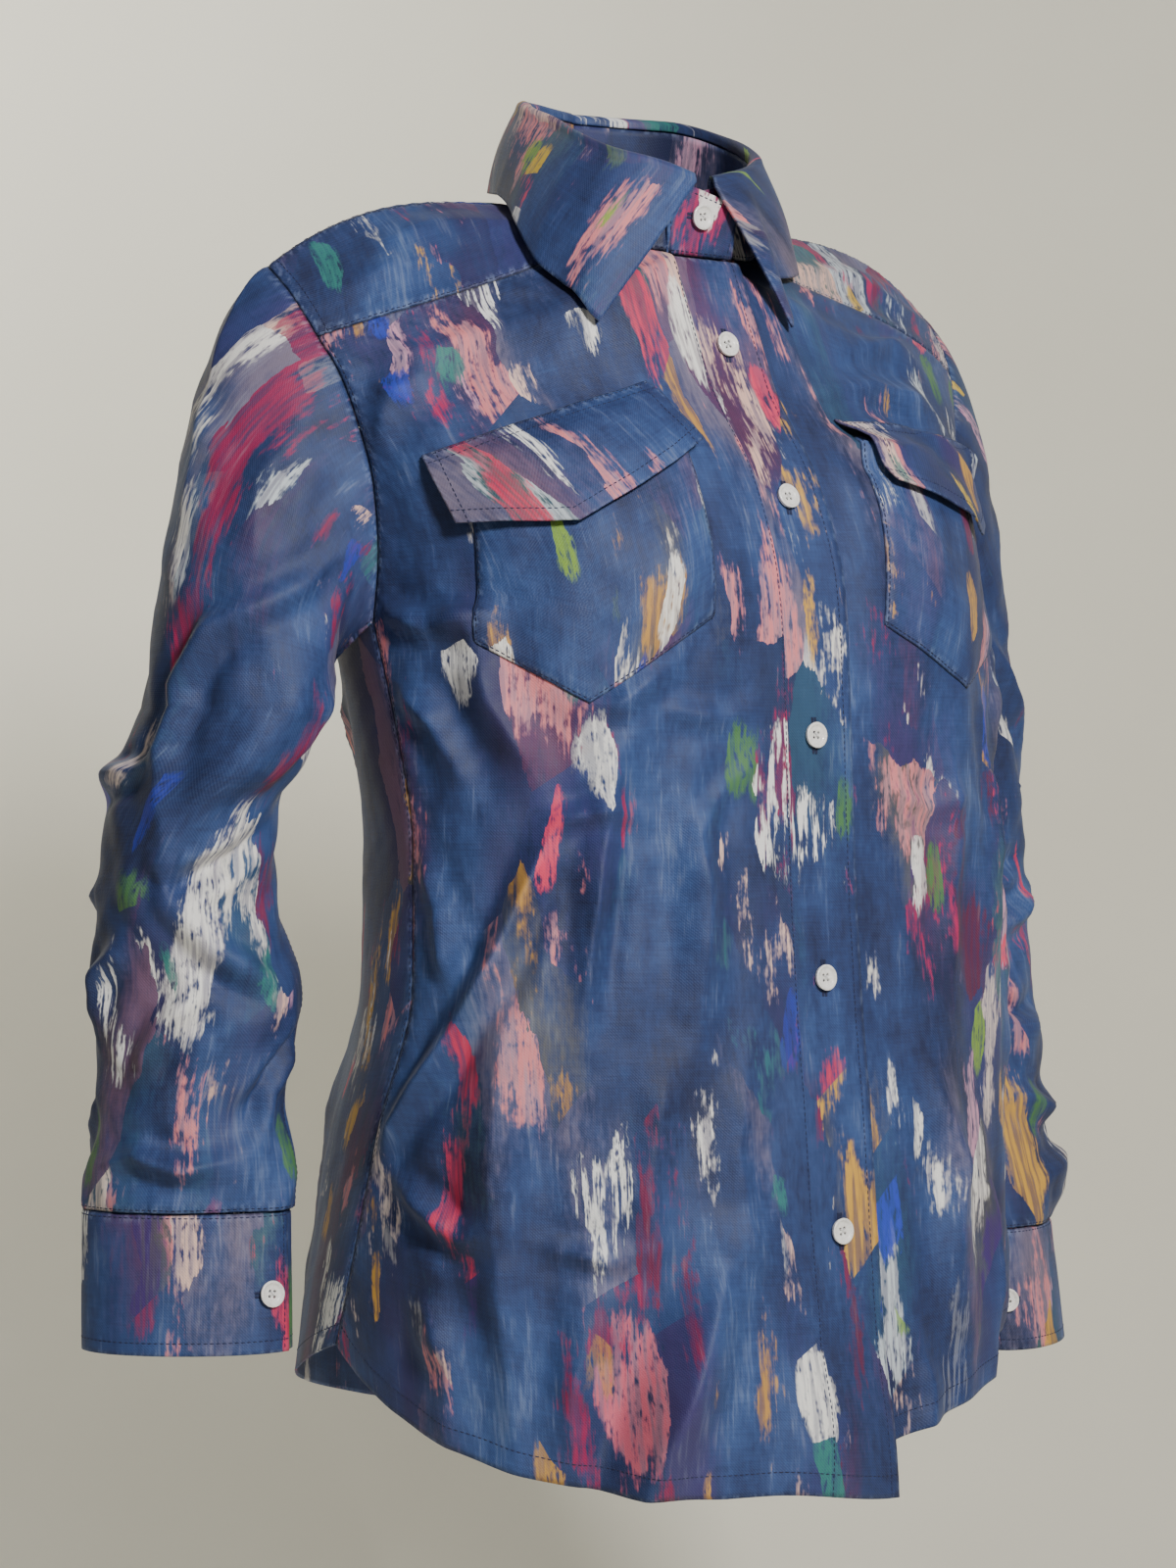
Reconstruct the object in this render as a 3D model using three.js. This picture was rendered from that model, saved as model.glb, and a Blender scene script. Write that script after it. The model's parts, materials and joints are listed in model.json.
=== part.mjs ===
// A long-sleeved denim shirt with a pointed collar, front and back yokes, two flapped chest pockets and
// a curved hem, filled out and hanging as it does when it is worn, with nothing inside it.
// Millimetres. +X is the wearer's left, -Y the front and +Z up. The origin is the middle of the neck,
// level with the points where the shoulder seams meet the neckline.

import * as THREE from 'three';

// Cloth and seams
const CLOTH = 1.5;
const DOUBLE_CLOTH = 1.9;
const SEAM_GAP = 0.4;
const LAID_GAP = 1.4;
const FLAP_SEAM_GAP = 0.7;

// Each front goes on past the centre line as its band: places across it, counted outwards from the
// centre line. The wearer's right front lies over the left one, which is tucked in behind it.
const BAND_COLUMNS = { right: [-21, -8, 5, 17], left: [-18, -6, 6, 17] };
const TUCK = { depth: 2.6, whole: 24, gone: 62 };

// The neckline leans to the wearer's right in front, and the closing with it. The left shoulder is
// held a little higher and further out than the right one.
const NECK_LEAN = -20;
const LEFT_SHOULDER = { up: 10, out: 5 };

// Sections of the front, from the hem up. Each row runs from the centre edge or the neckline (in) to the
// side seam or the armhole (out). wrap is how much of a quarter turn the row makes, round how far it
// swells from a straight line, and lift how late its height changes on the way out.
const FRONT_ROWS = [
  { name: 'hem', inX: 17, inY: -184, inZ: -639, outX: 190, outY: -14, outZ: -575, power: 2, wrap: 1, round: 1, lift: 3 },
  { name: 'hip', inX: 17, inY: -177, inZ: -556, outX: 188, outY: -28, outZ: -528, power: 2, wrap: 1, round: 1, lift: 1.8 },
  { name: 'high hip', inX: 17, inY: -171, inZ: -480, outX: 184, outY: -44, outZ: -466, power: 2, wrap: 1, round: 1, lift: 1.4 },
  { name: 'below waist', inX: 17, inY: -162, inZ: -400, outX: 180, outY: -68, outZ: -396, power: 2, wrap: 1, round: 1, lift: 1 },
  { name: 'waist', inX: 17, inY: -157, inZ: -330, outX: 180, outY: -68, outZ: -330, power: 2, wrap: 1, round: 1, lift: 1 },
  { name: 'ribs', inX: 17, inY: -154, inZ: -270, outX: 182, outY: -56, outZ: -270, power: 2.1, wrap: 1, round: 1, lift: 1 },
  { name: 'chest', inX: 17, inY: -149, inZ: -218, outX: 184, outY: -40, outZ: -220, power: 2.2, wrap: 1, round: 1, lift: 1 },
  { name: 'bust', inX: 17, inY: -143, inZ: -182, outX: 184, outY: -44, outZ: -190, power: 2.3, wrap: 0.97, round: 1, lift: 1 },
  { name: 'pocket top', inX: 17, inY: -130, inZ: -142, outX: 187, outY: -45, outZ: -156, power: 2.3, wrap: 0.94, round: 1, lift: 1 },
  { name: 'upper chest', inX: 17, inY: -109, inZ: -100, outX: 193, outY: -39, outZ: -122, power: 2.2, wrap: 0.92, round: 0.95, lift: 1 },
  { name: 'neck corner', inX: 17, inY: -87, inZ: -33, outX: 199, outY: -32, outZ: -98, power: 2, wrap: 0.88, round: 0.9, lift: 0.9 },
  { name: 'yoke seam', inX: 50, inY: -62, inZ: -27, outX: 205, outY: -22, outZ: -80, power: 2, wrap: 0.85, round: 0.8, lift: 1.05 },
  { name: 'yoke middle', inX: 66, inY: -31, inZ: -12, outX: 210, outY: -6, outZ: -58, power: 2, wrap: 0.8, round: 0.5, lift: 1.6 },
  { name: 'shoulder seam', inX: 70, inY: 2, inZ: 0, outX: 213, outY: 12, outZ: -42, power: 2, wrap: 0.7, round: 0, lift: 2.8 },
];

// The left front is drawn up, so its hem ends higher at the centre and rises sooner than the right one's.
const LEFT_HEM = { inY: -182.4, inZ: -625, lift: 0.9 };
const LEFT_FRONT_ROWS = FRONT_ROWS.map((row, i) => (i === 0 ? { ...row, ...LEFT_HEM } : row));
const frontRows = (side) => (side < 0 ? FRONT_ROWS : LEFT_FRONT_ROWS);

// Sections of the back, level with the front's. Below the chest they share its side seam.
const BACK_ROWS = [
  { name: 'hem', inX: 0, inY: 122, inZ: -644, outX: 190, outY: -14, outZ: -575, power: 2.3, wrap: 1, round: 1, lift: 1.4 },
  { name: 'hip', inX: 0, inY: 116, inZ: -568, outX: 188, outY: -28, outZ: -528, power: 2.3, wrap: 1, round: 1, lift: 1.8 },
  { name: 'high hip', inX: 0, inY: 100, inZ: -485, outX: 184, outY: -44, outZ: -466, power: 2.3, wrap: 1, round: 1, lift: 1.4 },
  { name: 'below waist', inX: 0, inY: 80, inZ: -400, outX: 180, outY: -68, outZ: -396, power: 2.3, wrap: 1, round: 1, lift: 1 },
  { name: 'waist', inX: 0, inY: 70, inZ: -330, outX: 180, outY: -68, outZ: -330, power: 2.3, wrap: 1, round: 1, lift: 1 },
  { name: 'ribs', inX: 0, inY: 78, inZ: -270, outX: 182, outY: -56, outZ: -270, power: 2.4, wrap: 1, round: 1, lift: 1 },
  { name: 'chest', inX: 0, inY: 91, inZ: -218, outX: 184, outY: -40, outZ: -220, power: 2.4, wrap: 1, round: 1, lift: 1 },
  { name: 'shoulder blades', inX: 0, inY: 99, inZ: -182, outX: 181, outY: -6, outZ: -188, power: 2.4, wrap: 0.98, round: 1, lift: 1 },
  { name: 'upper back', inX: 0, inY: 102, inZ: -142, outX: 181, outY: 26, outZ: -154, power: 2.3, wrap: 0.95, round: 1, lift: 1 },
  { name: 'yoke seam', inX: 0, inY: 99, inZ: -98, outX: 186, outY: 42, outZ: -119, power: 2.2, wrap: 0.92, round: 0.95, lift: 1 },
  { name: 'yoke middle', inX: 0, inY: 87, inZ: -46, outX: 194, outY: 45, outZ: -92, power: 2, wrap: 0.9, round: 0.9, lift: 1 },
  { name: 'back neck', inX: 0, inY: 61, inZ: 12, outX: 202, outY: 44, outZ: -68, power: 2, wrap: 0.85, round: 0.6, lift: 1.3 },
  { name: 'neck side', inX: 44, inY: 46, inZ: 9, outX: 208, outY: 33, outZ: -50, power: 2, wrap: 0.8, round: 0.3, lift: 2 },
  { name: 'shoulder seam', inX: 70, inY: 2, inZ: 0, outX: 213, outY: 12, outZ: -42, power: 2, wrap: 0.7, round: 0, lift: 2.8 },
];

const CHEST_ROW = 6;
const BACK_YOKE_ROW = 9;
const NECK_ROW = 10;
const FRONT_YOKE_ROW = 11;
const BACK_NECK_ROW = 11;
const SHOULDER_ROW = 13;
const LOWER_ROW_STEP = 1 / 3;
const UPPER_ROW_STEP = 0.5;
const COLUMNS = 13;

// The collar, half of it, from the end of the band round to the middle of the back. x, y and z are the
// fold along its top. The edge of the leaf hangs over a place on the front or the back, clear of it by lift; right and left are the share on either hand.
const COLLAR_FOLD = [
  { name: 'lap end', x: -21, y: -93, z: -1 },
  { name: 'centre edge', x: 17, y: -89, z: 10 },
  { name: 'front', x: 45, y: -69, z: 20 },
  { name: 'side front', x: 58, y: -39, z: 34 },
  { name: 'side', x: 60, y: -6, z: 48 },
  { name: 'side back', x: 46, y: 27, z: 60 },
  { name: 'back', x: 0, y: 51, z: 63 },
];
const LEAF_EDGE_FRONT = [
  { name: 'before the point', right: 0.2, left: 0.1, row: 9.2, lift: 7 },
  { name: 'point', right: 0.31, left: 0.18, row: 9.66, lift: 6 },
  { name: 'front', right: 0.23, left: 0.19, row: 10.9, lift: 5 },
  { name: 'side front', right: 0.13, left: 0.1, row: 12, lift: 5 },
  { name: 'side', right: 0.09, left: 0.09, row: 13, lift: 5 },
];
const LEAF_EDGE_BACK = [
  { name: 'side', right: 0.09, left: 0.09, row: 13, lift: 5 },
  { name: 'side back', right: 0.08, left: 0.08, row: 12, lift: 5 },
  { name: 'back', right: 0, left: 0, row: 10.8, lift: 5 },
];
const LEAF_COLUMNS = [0.7, 1, 1.5, 2, 2.5, 3, 3.5, 4, 4.5, 5, 5.5, 6];
const LEAF_EDGE_ROWS = 5;
// How the leaf rolls over the stand: outwards from the fold and up from it
const LEAF_ROLL = [
  { out: -1.9, up: -4.5 },
  { out: -1.9, up: -1.5 },
  { out: -0.6, up: 0.8 },
  { out: 1.8, up: 1.4 },
  { out: 4.8, up: 0 },
  { out: 6.4, up: -4 },
];
const STAND_DROP = 5;
const STAND_ROWS = 3;

// Pockets and flaps. start is how far along the cloth from the centre edge each begins, tilt how far its
// outer end drops, slant how far the inner edge moves outwards on the way down, and peak the share of the
// width at which the lower edge comes to its point.
const FLAPS = {
  right: { start: 41, top: -101, length: 136, tilt: 17, slant: 0, peak: 0.62 },
  left: { start: 40, top: -113, length: 126, tilt: 3, slant: 13, peak: 0.68 },
};
const FLAP_SIDE_DEPTH = 36;
const FLAP_POINT_DEPTH = 54;
const POCKETS = {
  right: { start: 35, slant: 8, width: 117, inner: -219, outer: -232, point: 35, peak: 0.56 },
  left: { start: 44, slant: -14, width: 117, inner: -220, outer: -226, point: 28, peak: 0.5 },
};
const POCKET_TOP_DROP = 11;

// Buttons down the front by height, and how far up the stand and round each cuff the others sit
const FRONT_BUTTONS = [-79, -157, -275, -394, -517];
const STAND_BUTTON_UP = 0.6;
const CUFF_BUTTONS = { right: 0.105, left: 0.045 };
const BUTTON_SEGMENTS = 14;
const BUTTON_PROFILE = [[0, 0], [6.2, 0], [6.5, 1.2], [6.1, 2.2], [5.3, 2.3], [4.5, 1.5], [0, 1.4]];
const BUTTON_GAP = 0.3;

// Rings of each sleeve below the armhole: the middle of the ring, its half sizes and how far it is
// turned. x counts outwards from the body, so both arms read alike. The right arm is bent.
const SLEEVE_RINGS = {
  right: [
    { name: 'upper arm', x: 235, y: 8, z: -262, across: 41, deep: 52, turn: 0 },
    { name: 'above elbow', x: 241, y: 16, z: -286, across: 43, deep: 52, turn: 4 },
    { name: 'elbow', x: 247, y: 28, z: -312, across: 42, deep: 48, turn: 12 },
    { name: 'below elbow', x: 248, y: 30, z: -350, across: 44, deep: 42, turn: 22 },
    { name: 'fore arm', x: 247, y: 24, z: -400, across: 50, deep: 38, turn: 30 },
    { name: 'lower arm', x: 250, y: 22, z: -455, across: 46, deep: 35, turn: 34 },
    { name: 'above cuff', x: 253, y: 19, z: -490, across: 52, deep: 31, turn: 36 },
    { name: 'cuff seam', x: 254, y: 18, z: -506, across: 53, deep: 28, turn: 36 },
  ],
  left: [
    { name: 'upper arm', x: 232, y: 18, z: -262, across: 41, deep: 50, turn: 0 },
    { name: 'above elbow', x: 236, y: 19, z: -300, across: 42, deep: 48, turn: 4 },
    { name: 'elbow', x: 240, y: 20, z: -340, across: 43, deep: 46, turn: 10 },
    { name: 'below elbow', x: 243, y: 16, z: -385, across: 43, deep: 44, turn: 16 },
    { name: 'fore arm', x: 246, y: 6, z: -435, across: 44, deep: 40, turn: 24 },
    { name: 'lower arm', x: 247, y: -5, z: -485, across: 45, deep: 37, turn: 30 },
    { name: 'above cuff', x: 252, y: -13, z: -530, across: 50, deep: 33, turn: 34 },
    { name: 'cuff seam', x: 253, y: -16, z: -546, across: 48, deep: 28, turn: 36 },
  ],
};
const CAP_ROWS = 6;
const RING_ROWS_PER_STEP = 2;

// Cuffs: their height, their lean on the way down and how they lap. The end that laps over begins a
// little before the button and the other end is tucked in behind it.
const CUFF_HEIGHT = 67;
const CUFF_LEAN = { right: [4, -8], left: [5, -6] };
const CUFF_TURN_STEPS = 22;
const CUFF_LAP_STEPS = 2;
const CUFF_TUCK = 2.9;
const CUFF_BEFORE_BUTTON = 0.05;
const CUFF_ROWS = 3;
const CUFF_BUTTON_DROP = 39;

// Folds that are large enough to change the outline: a straight crest from one place to another, given
// on the front (-1) or the back (+1) by x and z, with its width and its height above the cloth
const BODY_FOLDS = [
  { face: -1, fromX: -88, fromZ: -205, toX: -168, toZ: -470, width: 15, height: 9 },
  { face: -1, fromX: -70, fromZ: -290, toX: -78, toZ: -430, width: 12, height: 6 },
  { face: -1, fromX: -60, fromZ: -520, toX: -104, toZ: -660, width: 22, height: 13 },
  { face: -1, fromX: -150, fromZ: -420, toX: -176, toZ: -600, width: 18, height: 8 },
  { face: -1, fromX: -20, fromZ: -560, toX: -10, toZ: -660, width: 26, height: 8 },
  { face: -1, fromX: 92, fromZ: -215, toX: 150, toZ: -440, width: 16, height: 8 },
  { face: -1, fromX: 84, fromZ: -420, toX: 96, toZ: -640, width: 22, height: 9 },
  { face: -1, fromX: 150, fromZ: -430, toX: 168, toZ: -620, width: 20, height: 8 },
  { face: 1, fromX: -60, fromZ: -190, toX: -78, toZ: -420, width: 20, height: 8 },
  { face: 1, fromX: 64, fromZ: -200, toX: 74, toZ: -430, width: 22, height: 7 },
  { face: 1, fromX: -120, fromZ: -420, toX: -128, toZ: -650, width: 22, height: 9 },
  { face: 1, fromX: 4, fromZ: -400, toX: -6, toZ: -670, width: 26, height: 10 },
  { face: 1, fromX: 118, fromZ: -410, toX: 130, toZ: -650, width: 22, height: 9 },
];
const BUST = { x: 92, z: -192, width: 56, height: 11 };

// Folds of the sleeves: a crest from one place to another, given by how far round the tube from the
// armpit by way of the front (0 to 1) and by z
const SLEEVE_FOLDS = {
  right: [
    { fromRound: 0.12, fromZ: -200, toRound: 0.36, toZ: -345, width: 17, height: 9 },
    { fromRound: 0.36, fromZ: -352, toRound: 0.1, toZ: -392, width: 12, height: 7 },
    { fromRound: 0.5, fromZ: -292, toRound: 0.72, toZ: -300, width: 9, height: 9 },
    { fromRound: 0.02, fromZ: -400, toRound: 0.24, toZ: -424, width: 14, height: 8 },
    { fromRound: 0.3, fromZ: -470, toRound: 0.06, toZ: -452, width: 13, height: -6 },
    { fromRound: 0.5, fromZ: -395, toRound: 0.74, toZ: -430, width: 15, height: 7 },
    { fromRound: 0.78, fromZ: -330, toRound: 0.96, toZ: -352, width: 13, height: -7 },
  ],
  left: [
    { fromRound: 0.14, fromZ: -205, toRound: 0.34, toZ: -330, width: 17, height: 8 },
    { fromRound: 0.3, fromZ: -372, toRound: 0.56, toZ: -350, width: 13, height: 7 },
    { fromRound: 0.08, fromZ: -425, toRound: 0.3, toZ: -445, width: 14, height: 7 },
    { fromRound: 0.44, fromZ: -510, toRound: 0.2, toZ: -528, width: 14, height: 9 },
    { fromRound: 0.6, fromZ: -430, toRound: 0.84, toZ: -455, width: 15, height: 7 },
  ],
};

const COLOURS = { denim: 0x3f5a93, thread: 0x1d2440, button: 0xeeeae2 };

// Monotone curve through one column of a table, one unit of t for each row. The outer ends turn a corner
// at the chest, where the side seam meets the armhole.
function through(rows, key, t) {
  const last = rows.length - 1;
  const i = Math.min(Math.max(Math.floor(t), 0), last - 1);
  const f = t - i;
  const rise = (k) => rows[k + 1][key] - rows[k][key];
  const corner = (k) => key.startsWith('out') && rows[k].name === 'chest';
  const slope = (k) => {
    if (k <= 0 || (k === i && corner(k))) return rise(k);
    if (k >= last || corner(k)) return rise(k - 1);
    const before = rise(k - 1);
    const after = rise(k);
    return before * after <= 0 ? 0 : (2 * before * after) / (before + after);
  };
  const a = rows[i][key];
  const b = rows[i + 1][key];
  const f2 = f * f;
  const f3 = f2 * f;
  return (2 * f3 - 3 * f2 + 1) * a + (f3 - 2 * f2 + f) * slope(i)
    + (3 * f2 - 2 * f3) * b + (f3 - f2) * slope(i + 1);
}

const mix = (a, b, t) => a + (b - a) * t;
const point = (x, y, z) => new THREE.Vector3(x, y, z);
const bell = (distance, width) => Math.exp(-((distance / width) ** 2));
const steps = (from, to, step) =>
  Array.from({ length: Math.round((to - from) / step) + 1 }, (_, i) => from + i * step);

// The neckline's lean, and the tuck of the left front behind the right one
function lean(p) {
  const near = THREE.MathUtils.smoothstep(-p.y, 10, 80) * (1 - THREE.MathUtils.smoothstep(Math.abs(p.x), 30, 150));
  p.x += NECK_LEAN * near * (1 - THREE.MathUtils.smoothstep(-p.z, 20, 200));
  const held = THREE.MathUtils.smoothstep(p.x, 60, 205) * THREE.MathUtils.smoothstep(p.z, -215, -60);
  p.x += LEFT_SHOULDER.out * held;
  p.z += LEFT_SHOULDER.up * held;
  return p;
}
const tuck = (side, x) => (side < 0 ? 0 : TUCK.depth * (1 - THREE.MathUtils.smoothstep(x, TUCK.whole, TUCK.gone)));

// A section of the body: its length along the cloth, and the point at a share u of that length
const SECTION_SAMPLES = 40;
function section(table, row) {
  const at = (key) => through(table, key, row);
  const [power, wrap, round, inX, inY, inZ, outX, outY, outZ, lift] =
    ['power', 'wrap', 'round', 'inX', 'inY', 'inZ', 'outX', 'outY', 'outZ', 'lift'].map(at);
  const whole = 1 - (1 - wrap ** power) ** (1 / power);
  const depth = (s) =>
    round * (1 - (1 - (wrap * s) ** power) ** (1 / power)) / whole + (1 - round) * s;
  const plan = (s) => [mix(inX, outX, s), mix(inY, outY, depth(s))];
  const places = Array.from({ length: SECTION_SAMPLES + 1 },
    (_, i) => plan(Math.sin((i / SECTION_SAMPLES) * Math.PI / 2)));
  const lengths = [0];
  for (let i = 1; i <= SECTION_SAMPLES; i += 1) {
    const step = Math.hypot(places[i][0] - places[i - 1][0], places[i][1] - places[i - 1][1]);
    lengths.push(lengths[i - 1] + step);
  }
  const length = lengths[SECTION_SAMPLES];
  const pointAt = (u) => {
    const wanted = u * length;
    let i = 1;
    while (i < SECTION_SAMPLES && lengths[i] < wanted) i += 1;
    const f = (wanted - lengths[i - 1]) / (lengths[i] - lengths[i - 1]);
    const [x, y] = [0, 1].map((k) => mix(places[i - 1][k], places[i][k], f));
    return point(x, y, mix(inZ, outZ, Math.min(Math.max(u, 0), 1) ** lift));
  };
  return { length, pointAt };
}

function frontPoint(side, u, row) {
  const p = section(frontRows(side), row).pointAt(u);
  p.y += tuck(side, p.x);
  p.x *= side;
  return lean(p);
}

function bandPoint(side, x, row) {
  const [inX, inY, inZ] = ['inX', 'inY', 'inZ'].map((key) => through(frontRows(side), key, row));
  return x === inX ? frontPoint(side, 0, row) : lean(point(side * x, inY + tuck(side, x), inZ));
}

function backPoint(side, u, row) {
  const p = section(BACK_ROWS, row).pointAt(u);
  p.x *= side;
  return lean(p);
}

// The row of a front at which the cloth, so far along from the centre edge, is at height z
function rowAt(along, z) {
  let [low, high] = [0, SHOULDER_ROW];
  for (let i = 0; i < 30; i += 1) {
    const middle = (low + high) / 2;
    const here = section(FRONT_ROWS, middle);
    if (here.pointAt(Math.min(along / here.length, 1)).z < z) low = middle;
    else high = middle;
  }
  return (low + high) / 2;
}

// A point of a surface moved out along the way it faces, with its folds
const NEAR = 0.02;
function movedOut(surface, u, row, out, facing) {
  const p = surface(u, row);
  const along = surface(u + NEAR, row).sub(surface(u - NEAR, row));
  const up = surface(u, row + NEAR).sub(surface(u, row - NEAR));
  const normal = along.cross(up).normalize();
  if (normal.dot(facing) < 0) normal.negate();
  p.addScaledVector(normal, bodyRise(p) + out);
  return { p, normal };
}
const FORWARD = new THREE.Vector3(0, -1, 0.3);
function onFront(side, along, z, out) {
  const row = rowAt(along, z);
  const u = along / section(FRONT_ROWS, row).length;
  return movedOut((a, b) => frontPoint(side, a, b), u, row, out, FORWARD);
}

// The armhole: w runs from the armpit up the front to the shoulder (0.5) and down the back to the armpit
function armholePoint(side, w) {
  const up = w <= 0.5 ? w / 0.5 : (1 - w) / 0.5;
  const row = mix(CHEST_ROW, SHOULDER_ROW, up);
  return w <= 0.5 ? frontPoint(side, 1, row) : backPoint(side, 1, row);
}

function ringPoint(rings, side, w, row) {
  const at = (key) => through(rings, key, row);
  const angle = Math.PI * (1 + 2 * w);
  const turn = THREE.MathUtils.degToRad(at('turn'));
  const along = at('across') * Math.cos(angle);
  const over = at('deep') * Math.sin(angle);
  const x = at('x') + along * Math.cos(turn) - over * Math.sin(turn);
  const y = at('y') + along * Math.sin(turn) + over * Math.cos(turn);
  return point(side * x, y, at('z'));
}

// The sleeve's cap swells outwards from the armhole and turns down into the first ring
const CAP_START = { top: [0.84, 0, -0.42], armpit: [0.75, 0, -0.66] };
const CAP_END = [0.06, 0.04, -1];
const CAP_SWELL = 0.6;
function sleevePoint(arm, side, w, t) {
  const rings = SLEEVE_RINGS[arm];
  if (t > 1) return ringPoint(rings, side, w, t - 1);
  const start = armholePoint(side, w);
  const end = ringPoint(rings, side, w, 0);
  const low = 1 - Math.abs(w - 0.5) / 0.5;
  const pull = start.distanceTo(end) * CAP_SWELL;
  const leave = point(...CAP_START.armpit.map((a, k) => mix(a, CAP_START.top[k], low)));
  leave.normalize().multiplyScalar(pull);
  leave.x *= side;
  const arrive = point(side * CAP_END[0], CAP_END[1], CAP_END[2]).multiplyScalar(pull);
  const t2 = t * t;
  const t3 = t2 * t;
  return point(0, 0, 0)
    .addScaledVector(start, 2 * t3 - 3 * t2 + 1)
    .addScaledVector(leave, t3 - 2 * t2 + t)
    .addScaledVector(end, 3 * t2 - 2 * t3)
    .addScaledVector(arrive, t3 - t2);
}

// How far a place lies from a fold's crest, and how much of the fold is left there towards its ends
function foldAt(px, pz, fromX, fromZ, toX, toZ, width) {
  const dx = toX - fromX;
  const dz = toZ - fromZ;
  const length = Math.hypot(dx, dz);
  const along = ((px - fromX) * dx + (pz - fromZ) * dz) / length ** 2;
  const aside = ((px - fromX) * dz - (pz - fromZ) * dx) / length;
  const past = Math.max(0, -along, along - 1) * length;
  const inside = Math.sin(Math.PI * Math.min(Math.max(along, 0), 1));
  return bell(aside, width) * bell(past, width) * Math.max(inside, 0.35);
}

function bodyRise(p) {
  let rise = 0;
  for (const f of BODY_FOLDS) {
    const facing = THREE.MathUtils.smoothstep(f.face * (p.y + 30), -10, 50);
    rise += facing * f.height * foldAt(p.x, p.z, f.fromX, f.fromZ, f.toX, f.toZ, f.width);
  }
  const bustReach = Math.hypot((Math.abs(p.x) - BUST.x), (p.z - BUST.z) * 0.9);
  return rise + (p.y < 0 ? BUST.height * bell(bustReach, BUST.width) : 0);
}

const ROUND_TO_MM = 290;
function sleeveRise(arm, p, w) {
  let rise = 0;
  for (const f of SLEEVE_FOLDS[arm]) {
    for (const turn of [-1, 0, 1]) {
      rise += f.height * foldAt((w + turn) * ROUND_TO_MM, p.z, f.fromRound * ROUND_TO_MM, f.fromZ,
        f.toRound * ROUND_TO_MM, f.toZ, f.width);
    }
  }
  return rise;
}

// A grid of cloth: its points, row by row, with the rise of its folds at each. turned is set where rows
// and columns run so that the cloth's right side would face in.
function grid(rows, columns, pointAt, riseAt, { closed = false, turned = false } = {}) {
  const points = rows.map((r) => columns.map((c) => pointAt(c, r)));
  const rise = points.map((line, i) => line.map((p, j) => riseAt(p, columns[j], rows[i])));
  return { points, rise, closed, turned };
}

// A cut piece: the points of its grids, each kept once, and the four-cornered faces between them
const keyOf = (p) => [p.x, p.y, p.z].map((v) => Math.round(v * 50)).join(',');
function cutPiece(grids) {
  const piece = { points: [], rise: [], faces: [] };
  const known = new Map();
  const index = (p, rise) => {
    const key = keyOf(p);
    if (!known.has(key)) {
      known.set(key, piece.points.length);
      piece.points.push(p);
      piece.rise.push(rise);
    }
    return known.get(key);
  };
  for (const g of grids) {
    const ids = g.points.map((line, i) => line.map((p, j) => index(p, g.rise[i][j])));
    const width = ids[0].length;
    for (let i = 0; i < ids.length - 1; i += 1) {
      for (let j = 0; j < (g.closed ? width : width - 1); j += 1) {
        const k = (j + 1) % width;
        const face = [ids[i][j], ids[i][k], ids[i + 1][k], ids[i + 1][j]];
        piece.faces.push(g.turned ? face.reverse() : face);
      }
    }
  }
  return piece;
}

// The outward direction at each point of each piece. Pieces that share a seam agree there, unless the
// cloth folds back on itself.
const LEAST_AGREEMENT = 0.1;
function setNormals(pieces) {
  const met = new Map();
  pieces.forEach((piece) => {
    piece.own = piece.points.map(() => point(0, 0, 0));
    piece.faces.forEach((f) => {
      const [a, b, c, d] = f.map((i) => piece.points[i]);
      const across = c.clone().sub(a).cross(d.clone().sub(b));
      f.forEach((i) => piece.own[i].add(across));
    });
    piece.own.forEach((n) => n.normalize());
    piece.points.forEach((p, i) => {
      const key = keyOf(p);
      met.set(key, [...(met.get(key) ?? []), piece.own[i]]);
    });
  });
  pieces.forEach((piece) => {
    piece.normals = piece.points.map((p, i) => {
      const sum = point(0, 0, 0);
      met.get(keyOf(p)).forEach((n) => { if (n.dot(piece.own[i]) > LEAST_AGREEMENT) sum.add(n); });
      return sum.normalize();
    });
  });
}

// Moves the cloth out by its folds. A point on a seam goes where the first of its pieces takes it.
function raiseFolds(pieces) {
  setNormals(pieces);
  const raised = new Map();
  pieces.forEach((piece) => {
    piece.points = piece.points.map((p, i) => {
      const key = keyOf(p);
      if (!raised.has(key)) raised.set(key, p.clone().addScaledVector(piece.normals[i], piece.rise[i]));
      return raised.get(key);
    });
  });
  setNormals(pieces);
}

// The edges of a piece: pairs of points that only one face joins
function openEdges(piece) {
  const once = new Map();
  piece.faces.forEach((f) => f.forEach((a, k) => {
    const b = f[(k + 1) % 4];
    if (a === b) return;
    if (once.has(`${b},${a}`)) once.delete(`${b},${a}`);
    else once.set(`${a},${b}`, [a, b]);
  }));
  return [...once.values()];
}

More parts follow.
